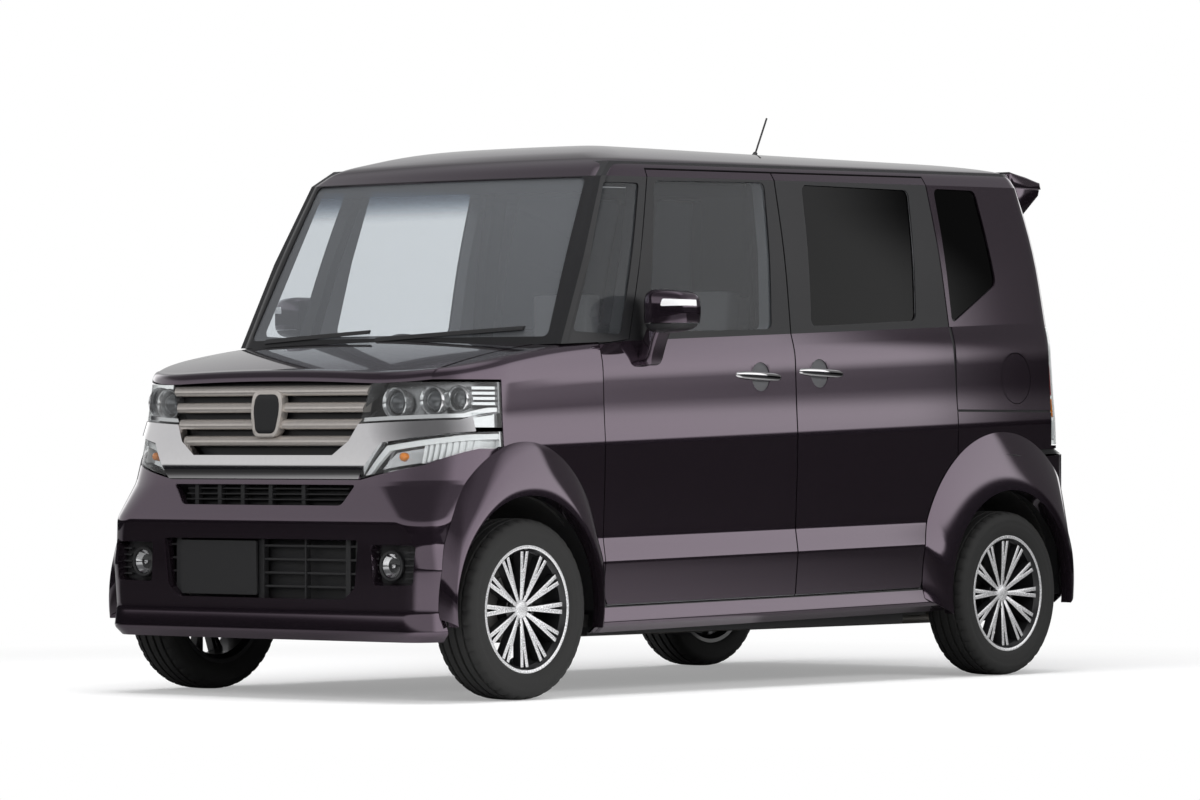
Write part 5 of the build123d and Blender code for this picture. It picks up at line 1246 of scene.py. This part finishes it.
machined = speckled("machined_alloy", 260.0, (0.74, 0.74, 0.75), (0.84, 0.84, 0.85), 0.22, 0.10, metallic=0.55)
pocket_black = speckled("pocket_black", 500.0, (0.008, 0.008, 0.009), (0.018, 0.018, 0.019), 0.26, 0.1,
                        coat_weight=0.4)
rubber = speckled("tyre_rubber", 900.0, (0.012, 0.012, 0.012), (0.026, 0.026, 0.025), 0.62, 0.2, 0.0006)


def spokes():
    """Twelve forked spokes, dished towards the hub."""
    shape = bmesh.new()
    face = shape.faces.new([shape.verts.new((0.0, across, out)) for out, across in SPOKE])
    made = bmesh.ops.extrude_face_region(shape, geom=[face])
    front = [item for item in made["geom"] if isinstance(item, bmesh.types.BMVert)]
    bmesh.ops.translate(shape, verts=front, vec=(0.030, 0, 0))
    bmesh.ops.recalc_face_normals(shape, faces=shape.faces)
    for vert in shape.verts:
        vert.co.x += 0.0125 + 0.019 * (vert.co.z / SPOKE_REACH) ** 0.8
    edges = [edge for edge in shape.edges if all(vert in front for vert in edge.verts)]
    bmesh.ops.bevel(shape, geom=edges, offset=0.0012, segments=2, profile=0.5, affect="EDGES", material=-1)
    bmesh.ops.spin(shape, geom=shape.verts[:] + shape.edges[:] + shape.faces[:], cent=(0, 0, 0), axis=(1, 0, 0),
                   dvec=(0, 0, 0), angle=2 * pi * (SPOKES - 1) / SPOKES, steps=SPOKES - 1, use_duplicate=True)
    return shape


def nuts():
    """Four wheel nuts between the spokes."""
    shape = bmesh.new()
    for turn in range(4):
        angle = radians(15 + 90 * turn)
        spot = Matrix.Translation((0.043, 0.050 * sin(angle), 0.050 * cos(angle)))
        bmesh.ops.create_cone(shape, cap_ends=True, segments=6, radius1=0.0085, radius2=0.0070, depth=0.016,
                              matrix=spot @ Matrix.Rotation(pi / 2, 4, "Y"))
    return shape


def spun(profile, steps, closed=True):
    """A shape turned about the axle."""
    return turned(profile, (0, 0, 0), (1, 0, 0), steps, closed)


def round_axle(spot):
    """The angle of a spot round the axle."""
    return Vector((1, 0)).angle_signed(Vector((spot.y, spot.z))) % (2 * pi)


def tyre():
    """A tyre turned from its section, with cuts across the shoulders of its tread."""
    half = TREAD + [(-along, radius) for along, radius in reversed(TREAD)]
    shape = spun(half + CAVITY, TREAD_STEPS)
    for vert in shape.verts:
        radius = sqrt(vert.co.y**2 + vert.co.z**2)
        step = round(round_axle(vert.co) / (2 * pi) * TREAD_STEPS) + (0 if vert.co.x > 0 else 2)
        if radius > TREAD_FROM and abs(vert.co.x) > TREAD_SHOULDER and step % 5 == 0:
            sunk = 1 - TREAD_CUT / radius
            vert.co.y, vert.co.z = vert.co.y * sunk, vert.co.z * sunk
    return shape


for name, x, side in (("front_left", AXLE, 1), ("front_right", AXLE, -1), ("rear_left", -AXLE, 1),
                      ("rear_right", -AXLE, -1)):
    place = Matrix.Translation((x, WHEEL_OUT * side, AXLE_HEIGHT)) @ Matrix.Rotation(pi / 2 * side, 4, "Z")
    made = [
        ("rim_spokes_", spokes(), pocket_black, "alloy", f"rim_{name}"),
        ("rim_barrel_", fused([spun(RIM_LIP, 72), spun(HUB, 48, closed=False)]), pocket_black, "alloy", None),
        ("rim_nuts_", nuts(), bright, "alloy", None),
        ("rim_cap_", spun(CAP, 40, closed=False), machined, "alloy", None),
        ("tyre_tread_", tyre(), rubber, "tyre_rubber", f"tyre_{name}"),
    ]
    for title, shape, finish, slot, node in made:
        bmesh.ops.transform(shape, matrix=place, verts=shape.verts)
        thing = dressed(new_object(title + name, shape), finish, f"wheel_{name}", slot, node, 35.0)
        if title not in ("rim_spokes_", "rim_barrel_"):
            continue
        # the spokes' faces and the rim's edge are turned bright
        thing.data.materials.append(machined)
        for face in thing.data.polygons:
            radius = Vector((face.center.x - x, face.center.z - AXLE_HEIGHT)).length
            if face.normal.y * side > 0.6 and (title == "rim_spokes_" or radius > BRIGHT_FROM):
                face.material_index = 1

# Cabin: dark grained plastic for the dashboard and the doors' inner trim, hide on the steering
# wheel's rim and pale cloth on the headlining, a sheet that follows the roof and clips under it.
cabin, wire = new_finish("cabin_plastic")
grain = speckle(wire, 1100.0)
patch = speckle(wire, 6.0)
show(cabin, wire, principled(
    wire, base_color=two_tone(wire, patch, (0.085, 0.085, 0.090), (0.125, 0.125, 0.132)),
    roughness=0.55 + grain * 0.2, normal=bumped(wire, grain, 0.0008)))
grip_hide, wire = new_finish("grip_hide")
place = wire.node("ShaderNodeTexCoord", output="Object")
grain = wire.node("ShaderNodeTexVoronoi", {"Vector": place, "Scale": 420.0})
show(grip_hide, wire, principled(
    wire, base_color=two_tone(wire, grain, (0.022, 0.021, 0.021), (0.045, 0.043, 0.043)),
    roughness=0.45 + grain * 0.2, normal=bumped(wire, grain, 0.0006)))
lining = speckled("roof_lining", 900.0, (0.30, 0.29, 0.28), (0.40, 0.39, 0.37), 0.9, 0.0, 0.001)
LINING_DROP = Vector((0, 0, 0.028))
lining_shape = sheet(120, roof_rows[-16:], lambda across, row: roof_point(across, row) - LINING_DROP, 0.004,
                     lid=1.73)
dressed(new_object("headlining", lining_shape), lining, "body", "cabin_plastic", "roof")

# Underneath: floor pan and housings in stone-chip black, black chassis parts, cast knuckles and
# block, and a dull steel exhaust, bolted up from below and shown by their own solids. The other
# nodes are the dark inner panels behind the skin.
chassis_black = speckled("chassis_black", 240.0, (0.010, 0.010, 0.010), (0.024, 0.023, 0.022), 0.60, 0.25, 0.001)
cast_metal = speckled("cast_metal", 320.0, (0.16, 0.155, 0.15), (0.30, 0.29, 0.28), 0.45, 0.2, 0.0008, metallic=0.8)
dull_steel = speckled("dull_steel", 14.0, (0.20, 0.18, 0.16), (0.36, 0.35, 0.33), 0.35, 0.25, metallic=1.0)
CARRIED = [
    (cabin, ("dashboard", "front_door_left", "front_door_right", "slide_door_left", "slide_door_right")),
    (grip_hide, ("steering_wheel",)),
    (chassis_black, ("underbody", "front_suspension", "rear_axle")),
    (cast_metal, ("powertrain", "knuckle_left", "knuckle_right")),
    (dull_steel, ("exhaust",)),
    (moulded_black, ("fuel_tank", "wipers", "aerial")),
]
finish_of = {name: finish for finish, names in CARRIED for name in names}
for name, thing in nodes.items():
    thing.data.materials.clear()
    thing.data.materials.append(finish_of.get(name, satin_black))

# Seats: foam cushions in dark woven cloth on their frames, sewn along the edges and puffed
# between the seams. Each row is one padded piece.
cloth_dark, wire = new_finish("seat_cloth")
place = wire.node("ShaderNodeTexCoord", output="Object")
across = wire.node("ShaderNodeTexWave", {"Vector": place, "Scale": 190.0}, bands_direction="Y")
along = wire.node("ShaderNodeTexWave", {"Vector": place, "Scale": 190.0}, bands_direction="Z")
weave = across * 0.5 + along * 0.5
fade = speckle(wire, 9.0)
show(cloth_dark, wire, principled(
    wire, base_color=two_tone(wire, weave * 0.6 + fade * 0.4, (0.130, 0.128, 0.130), (0.185, 0.181, 0.184)),
    roughness=0.85, normal=bumped(wire, weave, 0.0004, 0.3)))
PUFF, VOXEL, PRESSURE, FRAMES = 0.012, 0.012, 4.0, 20


def puffed(node, name):
    """A seat row copied from its solid, blown up a little like foam under cloth."""
    shape = bmesh.new()
    shape.from_mesh(nodes[node].data)
    bmesh.ops.remove_doubles(shape, verts=shape.verts, dist=0.0002)
    seat = new_object(name, shape)
    grid = seat.modifiers.new("grid", "REMESH")
    grid.mode, grid.voxel_size = "VOXEL", VOXEL
    rest = [vert.co.copy() for vert in settled(seat).data.vertices]
    air = seat.modifiers.new("air", "CLOTH")
    air.settings.use_pressure, air.settings.uniform_pressure_force = True, PRESSURE
    air.settings.effector_weights.gravity = 0.0
    air.point_cache.frame_start, air.point_cache.frame_end = 1, FRAMES
    for step in range(1, FRAMES + 1):
        bpy.context.scene.frame_set(step)
    settled(seat)
    bpy.context.scene.frame_set(1)
    for vert, start in zip(seat.data.vertices, rest):
        move = vert.co - start
        vert.co = start + move * min(1.0, PUFF / max(move.length, 0.000001))
    shape = bmesh.new()
    shape.from_mesh(seat.data)
    for _ in range(3):
        bmesh.ops.smooth_vert(shape, verts=shape.verts, factor=0.5, use_axis_x=True, use_axis_y=True, use_axis_z=True)
    shape.to_mesh(seat.data)
    shape.free()
    finer = seat.modifiers.new("finer", "SUBSURF")
    finer.levels = finer.render_levels = 1
    dressed(seat, cloth_dark, "body", "seat_cloth", node, 80.0)


puffed("front_seats", "front_seat_pads")
puffed("rear_seats", "rear_seat_pads")
